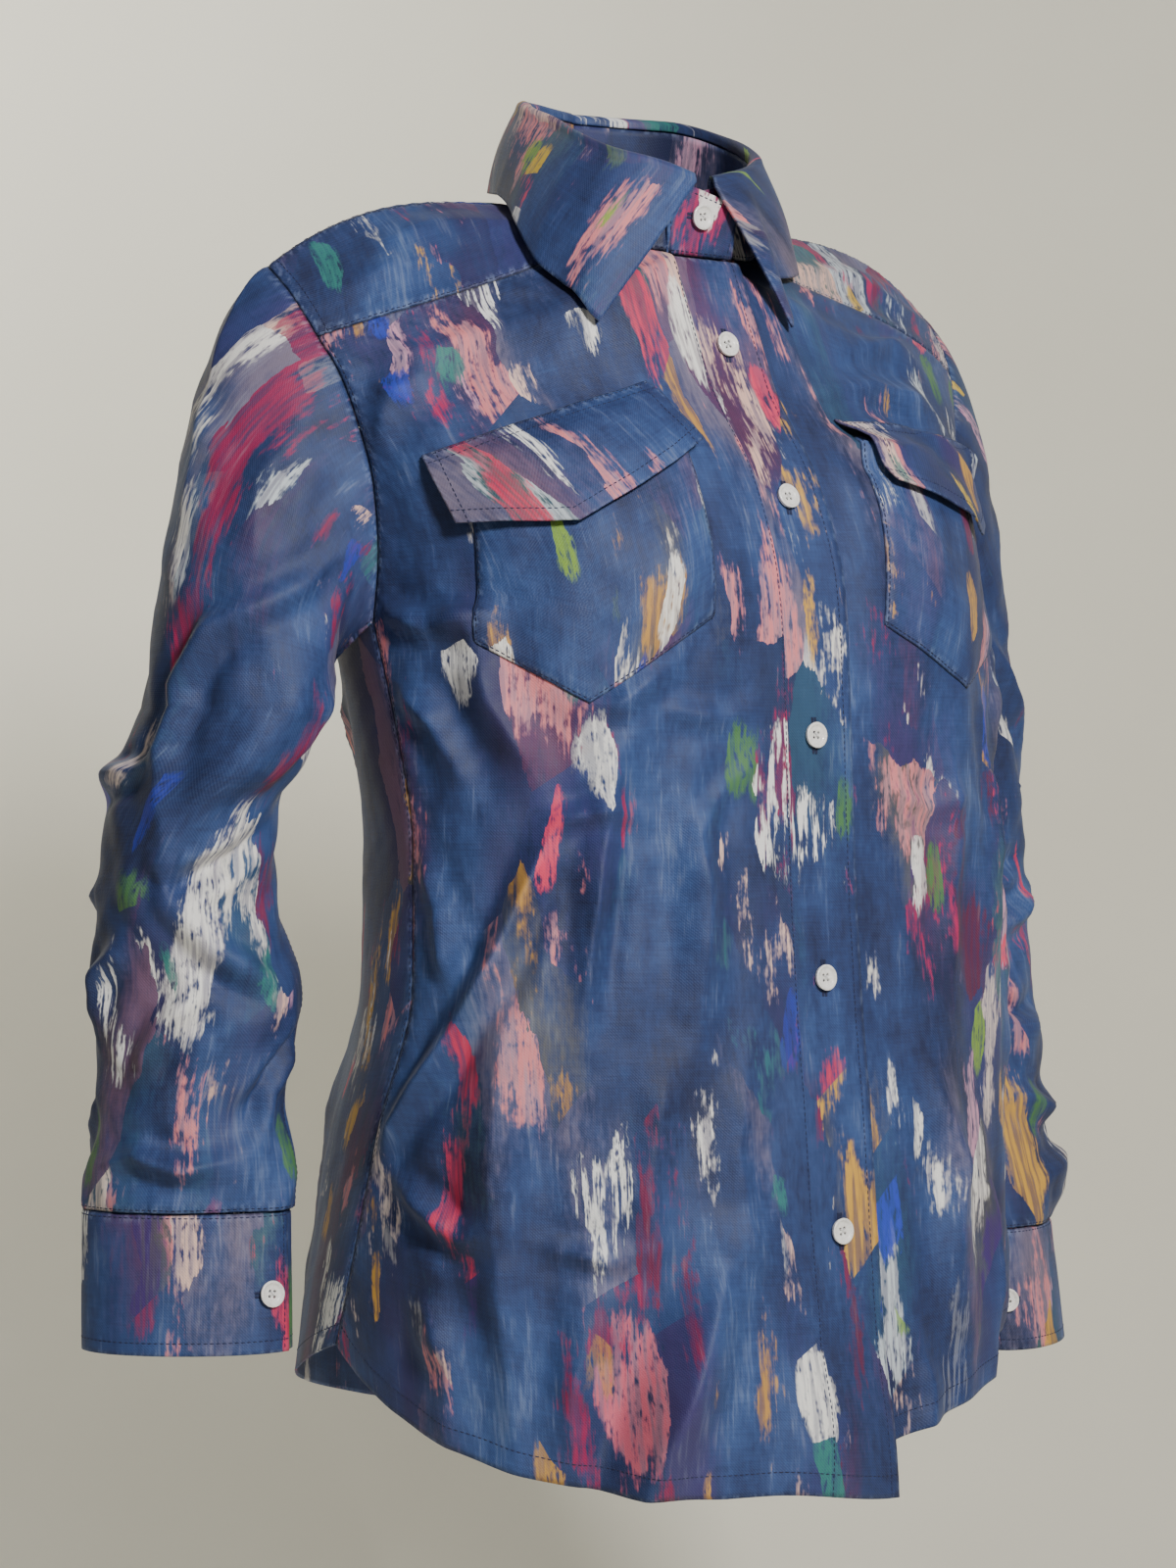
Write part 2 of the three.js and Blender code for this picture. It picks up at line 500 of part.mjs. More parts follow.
// The closed wall of a piece: its right side, its wrong side and the edges between them. The edges are
// drawn back into the piece by half a seam gap.
function wall(piece, { out = 0, thickness = CLOTH, drawBack = SEAM_GAP / 2 } = {}) {
  const edges = openEdges(piece);
  const inward = piece.points.map(() => null);
  for (const [a, b] of edges) {
    const along = piece.points[b].clone().sub(piece.points[a]);
    for (const i of [a, b]) {
      inward[i] ??= point(0, 0, 0);
      inward[i].add(piece.normals[i].clone().cross(along).normalize());
    }
  }
  const moved = piece.points.map((p, i) => {
    if (!inward[i]) return p;
    const mitre = (2 * drawBack) / Math.max(inward[i].lengthSq(), 1);
    return p.clone().addScaledVector(inward[i], mitre);
  });
  const face = (distance) => moved.map((p, i) => p.clone().addScaledVector(piece.normals[i], distance));
  const right = face(out);
  const wrong = face(out - thickness);
  const corners = [];
  const triangle = (a, b, c) => corners.push(a, b, c);
  const quad = (a, b, c, d) => {
    if (a !== b) triangle(a, b, c);
    if (c !== d && a !== d) triangle(a, c, d);
  };
  for (const f of piece.faces) {
    quad(...f.map((i) => right[i]));
    quad(...[...f].reverse().map((i) => wrong[i]));
  }
  for (const [a, b] of edges) quad(right[b], right[a], wrong[a], wrong[b]);
  const geometry = new THREE.BufferGeometry().setFromPoints(corners);
  geometry.computeVertexNormals();
  return geometry;
}

const shirt = new THREE.Group();
const cloth = new THREE.MeshStandardMaterial({ color: COLOURS.denim, roughness: 0.85, metalness: 0 });
const pearl = new THREE.MeshStandardMaterial({ color: COLOURS.button, roughness: 0.3, metalness: 0 });

function add(name, geometry, material = cloth) {
  const mesh = new THREE.Mesh(geometry, material);
  mesh.name = name;
  shirt.add(mesh);
  return mesh;
}

const hands = { right: -1, left: 1 };
const shares = (count) => steps(0, 1, 1 / count);
const lowerRows = (from, to) => steps(from, to, LOWER_ROW_STEP);
const upperRows = (from, to) => steps(from, to, UPPER_ROW_STEP);
const pieces = {};

// Fronts, each with its band, and their yokes
for (const [hand, side] of Object.entries(hands)) {
  const columns = shares(COLUMNS);
  const turned = side < 0;
  const rows = [...lowerRows(0, CHEST_ROW), ...upperRows(CHEST_ROW, FRONT_YOKE_ROW).slice(1)];
  const bandRows = rows.filter((row) => row <= NECK_ROW);
  const at = (u, row) => frontPoint(side, u, row);
  const band = (x, row) => bandPoint(side, x, row);
  pieces[`front_${hand}`] = cutPiece([
    grid(rows, columns, at, bodyRise, { turned }),
    grid(bandRows, BAND_COLUMNS[hand], band, bodyRise, { turned }),
  ]);
  pieces[`front_yoke_${hand}`] = cutPiece([
    grid(upperRows(FRONT_YOKE_ROW, SHOULDER_ROW), columns, at, bodyRise, { turned }),
  ]);
}

// The back and its yoke, which the neck parts into two above the middle of the back neck
const backShares = (from, to) => steps(from, to, 1 / COLUMNS);
const back = (u, row) => backPoint(Math.sign(u) || 1, Math.abs(u), row);
pieces.back = cutPiece([
  grid([...lowerRows(0, CHEST_ROW), ...upperRows(CHEST_ROW, BACK_YOKE_ROW).slice(1)],
    backShares(-1, 1), back, bodyRise, { turned: true }),
]);
pieces.back_yoke = cutPiece([
  grid(upperRows(BACK_YOKE_ROW, BACK_NECK_ROW), backShares(-1, 1), back, bodyRise, { turned: true }),
  ...Object.values(hands).map((side) => grid(upperRows(BACK_NECK_ROW, SHOULDER_ROW), backShares(0, 1),
    (u, row) => backPoint(side, u, row), bodyRise, { turned: side > 0 })),
]);

// Sleeves, whose first row is the armhole
const ARMHOLE_STEP = UPPER_ROW_STEP / (2 * (SHOULDER_ROW - CHEST_ROW));
const aroundSleeve = steps(0, 1, ARMHOLE_STEP).slice(0, -1);
for (const [hand, side] of Object.entries(hands)) {
  const rings = SLEEVE_RINGS[hand].length - 1;
  const along = [...steps(0, 1, 1 / CAP_ROWS), ...steps(1, 1 + rings, 1 / RING_ROWS_PER_STEP).slice(1)];
  pieces[`sleeve_${hand}`] = cutPiece([
    grid(along, aroundSleeve, (w, t) => sleevePoint(hand, side, w, t),
      (p, w, t) => (t === 0 ? bodyRise(p) : sleeveRise(hand, p, w)), { closed: true, turned: side > 0 }),
  ]);
}

// The collar. Its places are counted from the end of the band (0) round to the middle of the back (6).
const COLLAR_LAST = COLLAR_FOLD.length - 1;
const bandShare = (x, hand) => (x - BAND_COLUMNS[hand][0]) / (BAND_COLUMNS[hand].at(-1) - BAND_COLUMNS[hand][0]);
function neckline(side, hand) {
  const front = steps(NECK_ROW, SHOULDER_ROW, UPPER_ROW_STEP);
  const behind = steps(BACK_NECK_ROW, SHOULDER_ROW, UPPER_ROW_STEP).reverse().slice(1);
  return [
    ...BAND_COLUMNS[hand].slice(0, -1).map((x) => ({ place: bandShare(x, hand), p: bandPoint(side, x, NECK_ROW) })),
    ...front.map((row) => ({ place: 1 + row - NECK_ROW, p: frontPoint(side, 0, row) })),
    ...behind.map((row) => ({ place: 4 + SHOULDER_ROW - row, p: backPoint(side, 0, row) })),
  ];
}

function foldPoint(side, place, up) {
  const [x, y, z] = ['x', 'y', 'z'].map((key) => through(COLLAR_FOLD, key, place));
  return lean(point(side * x, y + tuck(side, x), z + up));
}

const halves = Object.fromEntries(Object.entries(hands).map(([hand, side]) => [hand, neckline(side, hand)]));
const feet = [
  ...halves.right.map((f) => ({ ...f, side: -1 })),
  ...halves.left.map((f) => ({ ...f, side: 1 })).reverse().slice(1),
];
pieces.collar_stand = cutPiece([
  grid(shares(STAND_ROWS), feet, (f, t) => f.p.clone().lerp(foldPoint(f.side, f.place, -STAND_DROP), t),
    () => 0, { turned: true }),
]);

const LEAF_CENTRE = point(0, -12, 0);
function leafEdge(side, place) {
  const front = place <= 4;
  const table = front ? LEAF_EDGE_FRONT : LEAF_EDGE_BACK;
  const [share, row, lift] = [side < 0 ? 'right' : 'left', 'row', 'lift']
    .map((key) => through(table, key, front ? place : place - 4));
  const surface = front ? frontPoint : backPoint;
  return movedOut((u, r) => surface(side, u, r), share, row, lift, point(0, front ? -0.6 : 0.6, 1)).p;
}
function leafPoint({ side, place }, k) {
  const fold = foldPoint(side, place, 0);
  const outwards = fold.clone().sub(LEAF_CENTRE).setZ(0).normalize();
  const rolled = (r) => fold.clone().addScaledVector(outwards, r.out).setZ(fold.z + r.up);
  if (k < LEAF_ROLL.length) return rolled(LEAF_ROLL[k]);
  const t = (k + 1 - LEAF_ROLL.length) / LEAF_EDGE_ROWS;
  const bulge = 2.5 * Math.sin(Math.PI * t);
  return rolled(LEAF_ROLL.at(-1)).lerp(leafEdge(side, place), t).addScaledVector(outwards, bulge);
}
const leafPlaces = [
  ...LEAF_COLUMNS.map((place) => ({ side: -1, place })),
  ...LEAF_COLUMNS.map((place) => ({ side: 1, place })).reverse().slice(1),
];
pieces.collar = cutPiece([
  grid(steps(0, LEAF_ROLL.length + LEAF_EDGE_ROWS - 1, 1), leafPlaces, leafPoint, () => 0),
]);

// Cuffs
function cuffPoint(hand, side, s, t) {
  const rings = SLEEVE_RINGS[hand];
  const turns = (s * (CUFF_TURN_STEPS + CUFF_LAP_STEPS)) / CUFF_TURN_STEPS;
  const w = CUFF_BUTTONS[hand] - CUFF_BEFORE_BUTTON + turns;
  const p = ringPoint(rings, side, w, rings.length - 1);
  const middle = point(side * rings.at(-1).x, rings.at(-1).y, p.z);
  const inwards = middle.clone().sub(p).normalize();
  p.addScaledVector(inwards, 0.6 + CUFF_TUCK * THREE.MathUtils.smoothstep(turns, 0.78, 0.98));
  p.x += side * CUFF_LEAN[hand][0] * t;
  p.y += CUFF_LEAN[hand][1] * t;
  p.z -= 0.3 + CUFF_HEIGHT * t;
  return p;
}
for (const [hand, side] of Object.entries(hands)) {
  pieces[`cuff_${hand}`] = cutPiece([
    grid(shares(CUFF_ROWS), shares(CUFF_TURN_STEPS + CUFF_LAP_STEPS),
      (s, t) => cuffPoint(hand, side, s, t), () => 0, { turned: side > 0 }),
  ]);
}

// Pockets and the flaps over them, laid on the fronts
const pointed = (s, peak) => (s < peak ? s / peak : (1 - s) / (1 - peak));
function flapPlace({ start, top, length, tilt, slant }, s, down) {
  const angle = THREE.MathUtils.degToRad(tilt);
  const along = start + s * length * Math.cos(angle) - down * Math.sin(angle)
    + (slant * down * (1 - s)) / FLAP_SIDE_DEPTH;
  return { along, z: top - s * length * Math.sin(angle) - down * Math.cos(angle) };
}
const flapDepth = (s, peak) => mix(FLAP_SIDE_DEPTH, FLAP_POINT_DEPTH, pointed(s, peak));
// Shares of the width with one of them at the peak
const peaked = (count, peak) => shares(count).map((s) => (s < 0.5 ? 2 * s * peak : peak + (2 * s - 1) * (1 - peak)));
for (const [hand, side] of Object.entries(hands)) {
  const flap = FLAPS[hand];
  const pocket = POCKETS[hand];
  pieces[`pocket_${hand}`] = cutPiece([
    grid(shares(6), peaked(8, pocket.peak), (s, t) => {
      const upper = flapPlace(flap, s, POCKET_TOP_DROP).z;
      const lower = mix(pocket.inner, pocket.outer, s) - pocket.point * pointed(s, pocket.peak);
      const swell = 2 * Math.sin(Math.PI * s) * Math.sin(Math.PI * t);
      return onFront(side, pocket.start + pocket.slant * t + pocket.width * s, mix(upper, lower, t),
        LAID_GAP + CLOTH + swell).p;
    }, () => 0, { turned: side > 0 }),
  ]);
  pieces[`flap_${hand}`] = cutPiece([
    grid([0, 0.15, 0.3, 0.65, 1], peaked(8, flap.peak), (s, t) => {
      const { along, z } = flapPlace(flap, s, flapDepth(s, flap.peak) * t);
      const gap = mix(FLAP_SEAM_GAP, LAID_GAP + 3.2, THREE.MathUtils.smoothstep(t, 0, 0.3)) + 3 * t;
      return onFront(side, along, z, gap + CLOTH).p;
    }, () => 0, { turned: side > 0 }),
  ]);
}

const laid = /^(collar|cuff|pocket|flap)/;
const bodyPieces = Object.entries(pieces).filter(([name]) => !laid.test(name)).map(([, piece]) => piece);
const laidPieces = Object.entries(pieces).filter(([name]) => laid.test(name)).map(([, piece]) => piece);
setNormals(Object.values(pieces));
raiseFolds(bodyPieces);
laidPieces.forEach((piece) => setNormals([piece]));
for (const [name, piece] of Object.entries(pieces)) {
  add(name, wall(piece, { thickness: /^(collar|cuff)/.test(name) ? DOUBLE_CLOTH : CLOTH }));
}

// Buttons, each set down on its cloth: from well above it, every place round its back looks down at the
// cloth, and the button comes down until the nearest is a small gap away
const profile = BUTTON_PROFILE.map(([x, y]) => new THREE.Vector2(x, y));
const ABOVE = 5;
function button(name, place, facing, carrier) {
  const geometry = new THREE.LatheGeometry(profile, BUTTON_SEGMENTS);
  const mesh = add(name, geometry, pearl);
  mesh.quaternion.setFromUnitVectors(point(0, 1, 0), facing);
  const start = place.clone().addScaledVector(facing, ABOVE);
  const down = new THREE.Raycaster(start.clone(), facing.clone().negate());
  let drop = Infinity;
  for (const reach of [0, 0.5, 0.8, 1]) {
    for (let i = 0; i < BUTTON_SEGMENTS; i += 1) {
      const angle = (2 * Math.PI * i) / BUTTON_SEGMENTS;
      const rim = BUTTON_PROFILE[1][0] * reach;
      const aside = point(rim * Math.cos(angle), 0, rim * Math.sin(angle)).applyQuaternion(mesh.quaternion);
      down.ray.origin.copy(start).add(aside);
      const [hit] = down.intersectObject(carrier);
      if (hit) drop = Math.min(drop, hit.distance);
    }
  }
  mesh.position.copy(start).addScaledVector(facing, BUTTON_GAP - drop);
}
const meshOf = (name) => shirt.getObjectByName(name);
FRONT_BUTTONS.forEach((z, i) => {
  const surface = (u, r) => bandPoint(-1, u, r);
  const { p, normal } = movedOut(surface, 0, rowAt(0, z), 0, FORWARD);
  button(`button_${i + 1}`, p, normal, meshOf('front_right'));
});
{
  const [low, high] = [bandPoint(-1, 0, NECK_ROW), foldPoint(-1, bandShare(0, 'right'), -STAND_DROP)];
  const up = high.clone().sub(low);
  const facing = point(-1, 0, 0).cross(up).normalize();
  button('button_stand', low.addScaledVector(up, STAND_BUTTON_UP), facing, meshOf('collar_stand'));
}
for (const [hand, side] of Object.entries(hands)) {
  const s = (CUFF_BEFORE_BUTTON * CUFF_TURN_STEPS) / (CUFF_TURN_STEPS + CUFF_LAP_STEPS);
  const t = CUFF_BUTTON_DROP / CUFF_HEIGHT;
  const at = (a, b) => cuffPoint(hand, side, a, b);
  const along = at(s + 0.02, t).sub(at(s - 0.02, t));
  const down = at(s, t + 0.1).sub(at(s, t - 0.1));
  const facing = along.cross(down).normalize();
  if (facing.y > 0) facing.negate();
  button(`button_cuff_${hand}`, at(s, t), facing, meshOf(`cuff_${hand}`));
}

export default shirt;
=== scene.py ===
# %% [markdown]
# # A denim shirt, worn with nothing inside it
# A shirt is a handful of flat cloth pieces, and everything that makes it look like a shirt is in how they
# bend. The model that is loaded here has each cut piece as a plain solid at its real size. This lesson makes
# each piece again as a thin, finely divided sheet on the same form, so that it can carry creases, seams
# and stitches, and then dyes and lights it. All lengths are metres in Blender, but cloth is easier to think
# about in millimetres, so the tables are in millimetres and are scaled once, at the end.

# %% Frame
import json
import math

import bpy
import numpy as np
from mathutils import Matrix, Vector
from mathutils.bvhtree import BVHTree

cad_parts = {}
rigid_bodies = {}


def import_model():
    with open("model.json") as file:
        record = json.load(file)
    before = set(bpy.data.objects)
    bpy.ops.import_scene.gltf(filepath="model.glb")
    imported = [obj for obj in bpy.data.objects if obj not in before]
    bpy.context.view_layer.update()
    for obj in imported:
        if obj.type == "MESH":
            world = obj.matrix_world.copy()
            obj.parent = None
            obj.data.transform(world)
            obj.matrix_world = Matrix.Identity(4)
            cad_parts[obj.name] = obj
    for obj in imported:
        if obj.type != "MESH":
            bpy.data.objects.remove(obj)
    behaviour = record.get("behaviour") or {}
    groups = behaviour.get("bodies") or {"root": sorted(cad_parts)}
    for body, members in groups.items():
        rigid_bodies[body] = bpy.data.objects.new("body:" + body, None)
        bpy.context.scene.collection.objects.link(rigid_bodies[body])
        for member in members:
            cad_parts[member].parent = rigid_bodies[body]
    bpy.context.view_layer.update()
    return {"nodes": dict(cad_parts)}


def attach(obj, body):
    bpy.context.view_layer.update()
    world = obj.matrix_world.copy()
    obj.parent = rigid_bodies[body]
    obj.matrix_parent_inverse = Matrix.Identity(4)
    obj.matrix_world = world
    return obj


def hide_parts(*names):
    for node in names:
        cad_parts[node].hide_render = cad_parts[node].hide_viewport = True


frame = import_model()
MM = 0.001

# %% [markdown]
# The camera comes first. It stands level with the
# shirt's waist, 36 degrees round to the wearer's right of straight in front.

# %% Camera
AZIMUTH = math.radians(-36)
DISTANCE = 1.8
SENSOR, FOCAL_PIXELS, PICTURE_HEIGHT = 36, 3472, 1600
TO_CAMERA = Vector((math.sin(AZIMUTH), -math.cos(AZIMUTH), 0))
TO_RIGHT = Vector((math.cos(AZIMUTH), math.sin(AZIMUTH), 0))
AIM = TO_RIGHT * -0.0207 + Vector((0, 0, -0.299))
bpy.ops.object.camera_add(location=AIM + TO_CAMERA * DISTANCE, rotation=(math.pi / 2, 0, AZIMUTH))
camera = bpy.context.object
camera.data.sensor_width = SENSOR
camera.data.lens = SENSOR * FOCAL_PIXELS / PICTURE_HEIGHT
bpy.context.scene.camera = camera
print("camera at", [round(v, 3) for v in camera.location])

# %% [markdown]
# ## The form of the body
# A shirt on a body is close to a stack of rounded rings. Each row of these tables is one such ring, from
# the hem up: where it starts at the middle, where it ends at the side seam or the armhole, and how it
# curves on the way. Between rows the values run on a smooth curve, so the sheet can be as fine as the
# creases need.

# %% Rows of the front and the back
COLUMN_NAMES = ["inX", "inY", "inZ", "outX", "outY", "outZ", "power", "wrap", "round", "lift"]
FRONT_ROWS = [
    (17, -184, -639, 190, -14, -575, 2, 1, 1, 3),
    (17, -177, -556, 188, -28, -528, 2, 1, 1, 1.8),
    (17, -171, -480, 184, -44, -466, 2, 1, 1, 1.4),
    (17, -162, -400, 180, -68, -396, 2, 1, 1, 1),
    (17, -157, -330, 180, -68, -330, 2, 1, 1, 1),
    (17, -154, -270, 182, -56, -270, 2.1, 1, 1, 1),
    (17, -149, -218, 184, -40, -220, 2.2, 1, 1, 1),
    (17, -143, -182, 184, -44, -190, 2.3, 0.97, 1, 1),
    (17, -130, -142, 187, -45, -156, 2.3, 0.94, 1, 1),
    (17, -109, -100, 193, -39, -122, 2.2, 0.92, 0.95, 1),
    (17, -87, -33, 199, -32, -98, 2, 0.88, 0.9, 0.9),
    (50, -62, -27, 205, -22, -80, 2, 0.85, 0.8, 1.05),
    (66, -31, -12, 210, -6, -58, 2, 0.8, 0.5, 1.6),
    (70, 2, 0, 213, 12, -42, 2, 0.7, 0, 2.8),
]
BACK_ROWS = [
    (0, 122, -644, 190, -14, -575, 2.3, 1, 1, 1.4),
    (0, 116, -568, 188, -28, -528, 2.3, 1, 1, 1.8),
    (0, 100, -485, 184, -44, -466, 2.3, 1, 1, 1.4),
    (0, 80, -400, 180, -68, -396, 2.3, 1, 1, 1),
    (0, 70, -330, 180, -68, -330, 2.3, 1, 1, 1),
    (0, 78, -270, 182, -56, -270, 2.4, 1, 1, 1),
    (0, 91, -218, 184, -40, -220, 2.4, 1, 1, 1),
    (0, 99, -182, 181, -6, -188, 2.4, 0.98, 1, 1),
    (0, 102, -142, 181, 26, -154, 2.3, 0.95, 1, 1),
    (0, 99, -98, 186, 42, -119, 2.2, 0.92, 0.95, 1),
    (0, 87, -46, 194, 45, -92, 2, 0.9, 0.9, 1),
    (0, 61, 12, 202, 44, -68, 2, 0.85, 0.6, 1.3),
    (44, 46, 9, 208, 33, -50, 2, 0.8, 0.3, 2),
    (70, 2, 0, 213, 12, -42, 2, 0.7, 0, 2.8),
]
CHEST, BACK_YOKE, NECK, FRONT_YOKE, BACK_NECK, SHOULDER = 6, 9, 10, 11, 11, 13


def columns_of(names, rows):
    return {name: np.array([row[i] for row in rows], float) for i, name in enumerate(names)}


FRONT = columns_of(COLUMN_NAMES, FRONT_ROWS)
BACK = columns_of(COLUMN_NAMES, BACK_ROWS)
LEFT_FRONT = {name: column.copy() for name, column in FRONT.items()}
LEFT_HEM = {"inY": -182.4, "inZ": -625, "lift": 0.9}
for name, value in LEFT_HEM.items():
    LEFT_FRONT[name][0] = value


def between(a, b, leave, arrive, f):
    """The smooth curve from a to b that leaves and arrives with the given slopes"""
    return ((2 * f**3 - 3 * f**2 + 1) * a + (f**3 - 2 * f**2 + f) * leave
            + (3 * f**2 - 2 * f**3) * b + (f**3 - f**2) * arrive)


def unit(v):
    return v / np.maximum(np.linalg.norm(v, axis=-1, keepdims=True), 1e-9)


def through(column, t, corner=None):
    """A smooth curve through a column of a table, one unit of t for each row"""
    t = np.asarray(t, float)
    rise = np.diff(column)
    middle = np.zeros(len(column))
    middle[0], middle[-1] = rise[0], rise[-1]
    same = rise[:-1] * rise[1:] > 0
    middle[1:-1][same] = (2 * rise[:-1] * rise[1:])[same] / (rise[:-1] + rise[1:])[same]
    leave, arrive = middle[:-1].copy(), middle[1:].copy()
    if corner is not None:
        leave[corner], arrive[corner - 1] = rise[corner], rise[corner - 1]
    i = np.clip(np.floor(t).astype(int), 0, len(rise) - 1)
    f = t - i
    return between(column[i], column[i + 1], leave[i], arrive[i], f)


def smoothstep(value, low, high):
    share = np.clip((np.asarray(value, float) - low) / (high - low), 0, 1)
    return share * share * (3 - 2 * share)


def mix(a, b, t):
    return a + (b - a) * t


# %% [markdown]
# Cloth keeps its length, so a place on a row is given by how far along the cloth it lies. Two things then
# bend the ideal rings: the neckline is pulled to the wearer's right, and the left shoulder sits higher.

# %% Places on the body
NECK_LEAN = -20
LEFT_SHOULDER = {"up": 10, "out": 5}
TUCK = {"depth": 2.6, "whole": 24, "gone": 62}
CORNER = {"out": 6, "down": 8}
SAMPLES = np.sin(np.linspace(0, math.pi / 2, 41))


def lean(p):
    x, y, z = p[..., 0], p[..., 1], p[..., 2]
    near = smoothstep(-y, 10, 80) * (1 - smoothstep(np.abs(x), 30, 150))
    x = x + NECK_LEAN * near * (1 - smoothstep(-z, 20, 200))
    held = smoothstep(x, 60, 205) * smoothstep(z, -215, -60)
    return np.stack([x + LEFT_SHOULDER["out"] * held, y, z + LEFT_SHOULDER["up"] * held], -1)


def front_table(side):
    return FRONT if side < 0 else LEFT_FRONT


def hang(side, p):
    """The free corner of the right front hangs a little low and stands off the left front"""
    if side > 0:
        return p
    share = smoothstep(p[..., 0], -50, 24) * smoothstep(-p[..., 2], 540, 640)
    return p + share[..., None] * np.array([0, -CORNER["out"], -CORNER["down"]])


def tuck(side, x):
    return 0 * x if side < 0 else TUCK["depth"] * (1 - smoothstep(x, TUCK["whole"], TUCK["gone"]))


def section(table, u, row):
    """Points on rings of the body, and the length of each ring, for arrays of u and row"""
    def at(name):
        corner = CHEST if name.startswith("out") else None
        return through(table[name], row, corner)[..., None]
    in_x, in_y, in_z, out_x, out_y, out_z, power, wrap, swell, lift = [at(n) for n in COLUMN_NAMES]
    whole = 1 - (1 - wrap**power) ** (1 / power)
    depth = swell * (1 - (1 - (wrap * SAMPLES) ** power) ** (1 / power)) / whole + (1 - swell) * SAMPLES
    x, y = mix(in_x, out_x, SAMPLES), mix(in_y, out_y, depth)
    steps = np.hypot(np.diff(x), np.diff(y))
    length = np.concatenate([0 * steps[..., :1], np.cumsum(steps, -1)], -1)
    wanted = np.asarray(u)[..., None] * length[..., -1:]
    i = np.clip((length < wanted).sum(-1), 1, len(SAMPLES) - 1)[..., None]
    take = lambda a, k: np.take_along_axis(a, k, -1)
    f = (wanted - take(length, i - 1)) / (take(length, i) - take(length, i - 1))
    px, py = [mix(take(a, i - 1), take(a, i), f) for a in (x, y)]
    pz = mix(in_z, out_z, np.clip(u, 0, 1)[..., None] ** lift)
    return np.concatenate([px, py, pz], -1), length[..., -1]


def front_at(side, u, row):
    p, _ = section(front_table(side), u, row)
    y = p[..., 1] + tuck(side, p[..., 0])
    return hang(side, lean(np.stack([side * p[..., 0], y, p[..., 2]], -1)))


def band_at(side, x, row):
    in_x, in_y, in_z = [through(front_table(side)[n], row) for n in ("inX", "inY", "inZ")]
    at_edge = front_at(side, 0 * x, row)
    flat = hang(side, lean(np.stack([side * x, in_y + tuck(side, x), in_z + 0 * x], -1)))
    return np.where((x >= in_x)[..., None], at_edge, flat)


def back_at(side, u, row):
    p, _ = section(BACK, u, row)
    return lean(np.stack([side * p[..., 0], p[..., 1], p[..., 2]], -1))


# %% [markdown]
# ## Creases
# Creases are what tells the eye that cloth is cloth. A crease is a soft ridge along a bent line, strongest
# in its middle, with a shallow trough on its flank where the cloth was drawn from. The large ones are
# the folds that the solids have too; the others are placed along the lines where such a shirt
# is pulled: from the bust, down from the pockets, out of the elbow and above the cuff.

# %% How a crease rises
CREASE = {"sharp": 1.35, "trough": 0.4}
WAVES = 9


def crease(a, b, path, width, height):
    """The rise at places (a, b) of a crease along a bent path"""
    path = np.array(path, float)
    legs = np.diff(path, axis=0)
    lengths = np.hypot(legs[:, 0], legs[:, 1])
    whole = lengths.sum()
    best = np.full(np.shape(a), 1e9)
    along, aside = np.zeros(np.shape(a)), np.zeros(np.shape(a))
    start = 0.0
    for p, leg, length in zip(path, legs, lengths):
        t = ((a - p[0]) * leg[0] + (b - p[1]) * leg[1]) / length**2
        near = np.clip(t, 0, 1)
        gap = np.hypot(a - p[0] - near * leg[0], b - p[1] - near * leg[1])
        side = np.sign((a - p[0]) * leg[1] - (b - p[1]) * leg[0])
        closer = gap < best
        best = np.where(closer, gap, best)
        along = np.where(closer, (start + near * length) / whole, along)
        aside = np.where(closer, side * gap, aside)
        start += length
    ends = np.sin(np.pi * np.clip(along, 0.02, 0.98)) ** 0.7
    uneven = 1 + 0.22 * np.sin(along * 9 + path[0, 0]) + 0.12 * np.sin(along * 23 + path[0, 1])
    ridge = np.exp(-(np.abs(aside) / width) ** CREASE["sharp"])
    flank = np.exp(-(((np.abs(aside) - 2.1 * width) / (1.1 * width)) ** 2))
    return height * ends * uneven * (ridge - CREASE["trough"] * flank)


def fold(a, b, start, end, width, height):
    """One of the solids' own folds, rise for rise as they have it"""
    dx, dz = end[0] - start[0], end[1] - start[1]
    length = math.hypot(dx, dz)
    along = ((a - start[0]) * dx + (b - start[1]) * dz) / length**2
    aside = ((a - start[0]) * dz - (b - start[1]) * dx) / length
    past = np.maximum(0, np.maximum(-along, along - 1)) * length
    inside = np.maximum(np.sin(np.pi * np.clip(along, 0, 1)), 0.35)
    return height * inside * np.exp(-((aside / width) ** 2)) * np.exp(-((past / width) ** 2))


def rumple(a, b, seed, longest, shortest, stretch=1.0):
    """Gentle unevenness: a few crossed waves of random direction"""
    dice = np.random.default_rng(seed)
    total = np.zeros(np.shape(a))
    for _ in range(WAVES):
        size = math.exp(dice.uniform(math.log(shortest), math.log(longest)))
        turn, shift = dice.uniform(0, math.pi), dice.uniform(0, 6.28)
        bend = 0.5 * np.sin((a + 2 * b) / (size * 1.9) + shift)
        total += np.sin((a * math.cos(turn) + b * math.sin(turn) / stretch) * 6.28 / size + shift + bend)
    return total / WAVES


# %% Folds and creases of the body
BODY_FOLDS = [
    (-1, (-88, -205), (-168, -470), 15, 9),
    (-1, (-70, -290), (-78, -430), 12, 6),
    (-1, (-60, -520), (-104, -660), 22, 13),
    (-1, (-150, -420), (-176, -600), 18, 8),
    (-1, (-20, -560), (-10, -660), 26, 8),
    (-1, (92, -215), (150, -440), 16, 8),
    (-1, (84, -420), (96, -640), 22, 9),
    (-1, (150, -430), (168, -620), 20, 8),
    (1, (-60, -190), (-78, -420), 20, 8),
    (1, (64, -200), (74, -430), 22, 7),
    (1, (-120, -420), (-128, -650), 22, 9),
    (1, (4, -400), (-6, -670), 26, 10),
    (1, (118, -410), (130, -650), 22, 9),
]
BUST = {"x": 92, "z": -192, "width": 56, "height": 11}


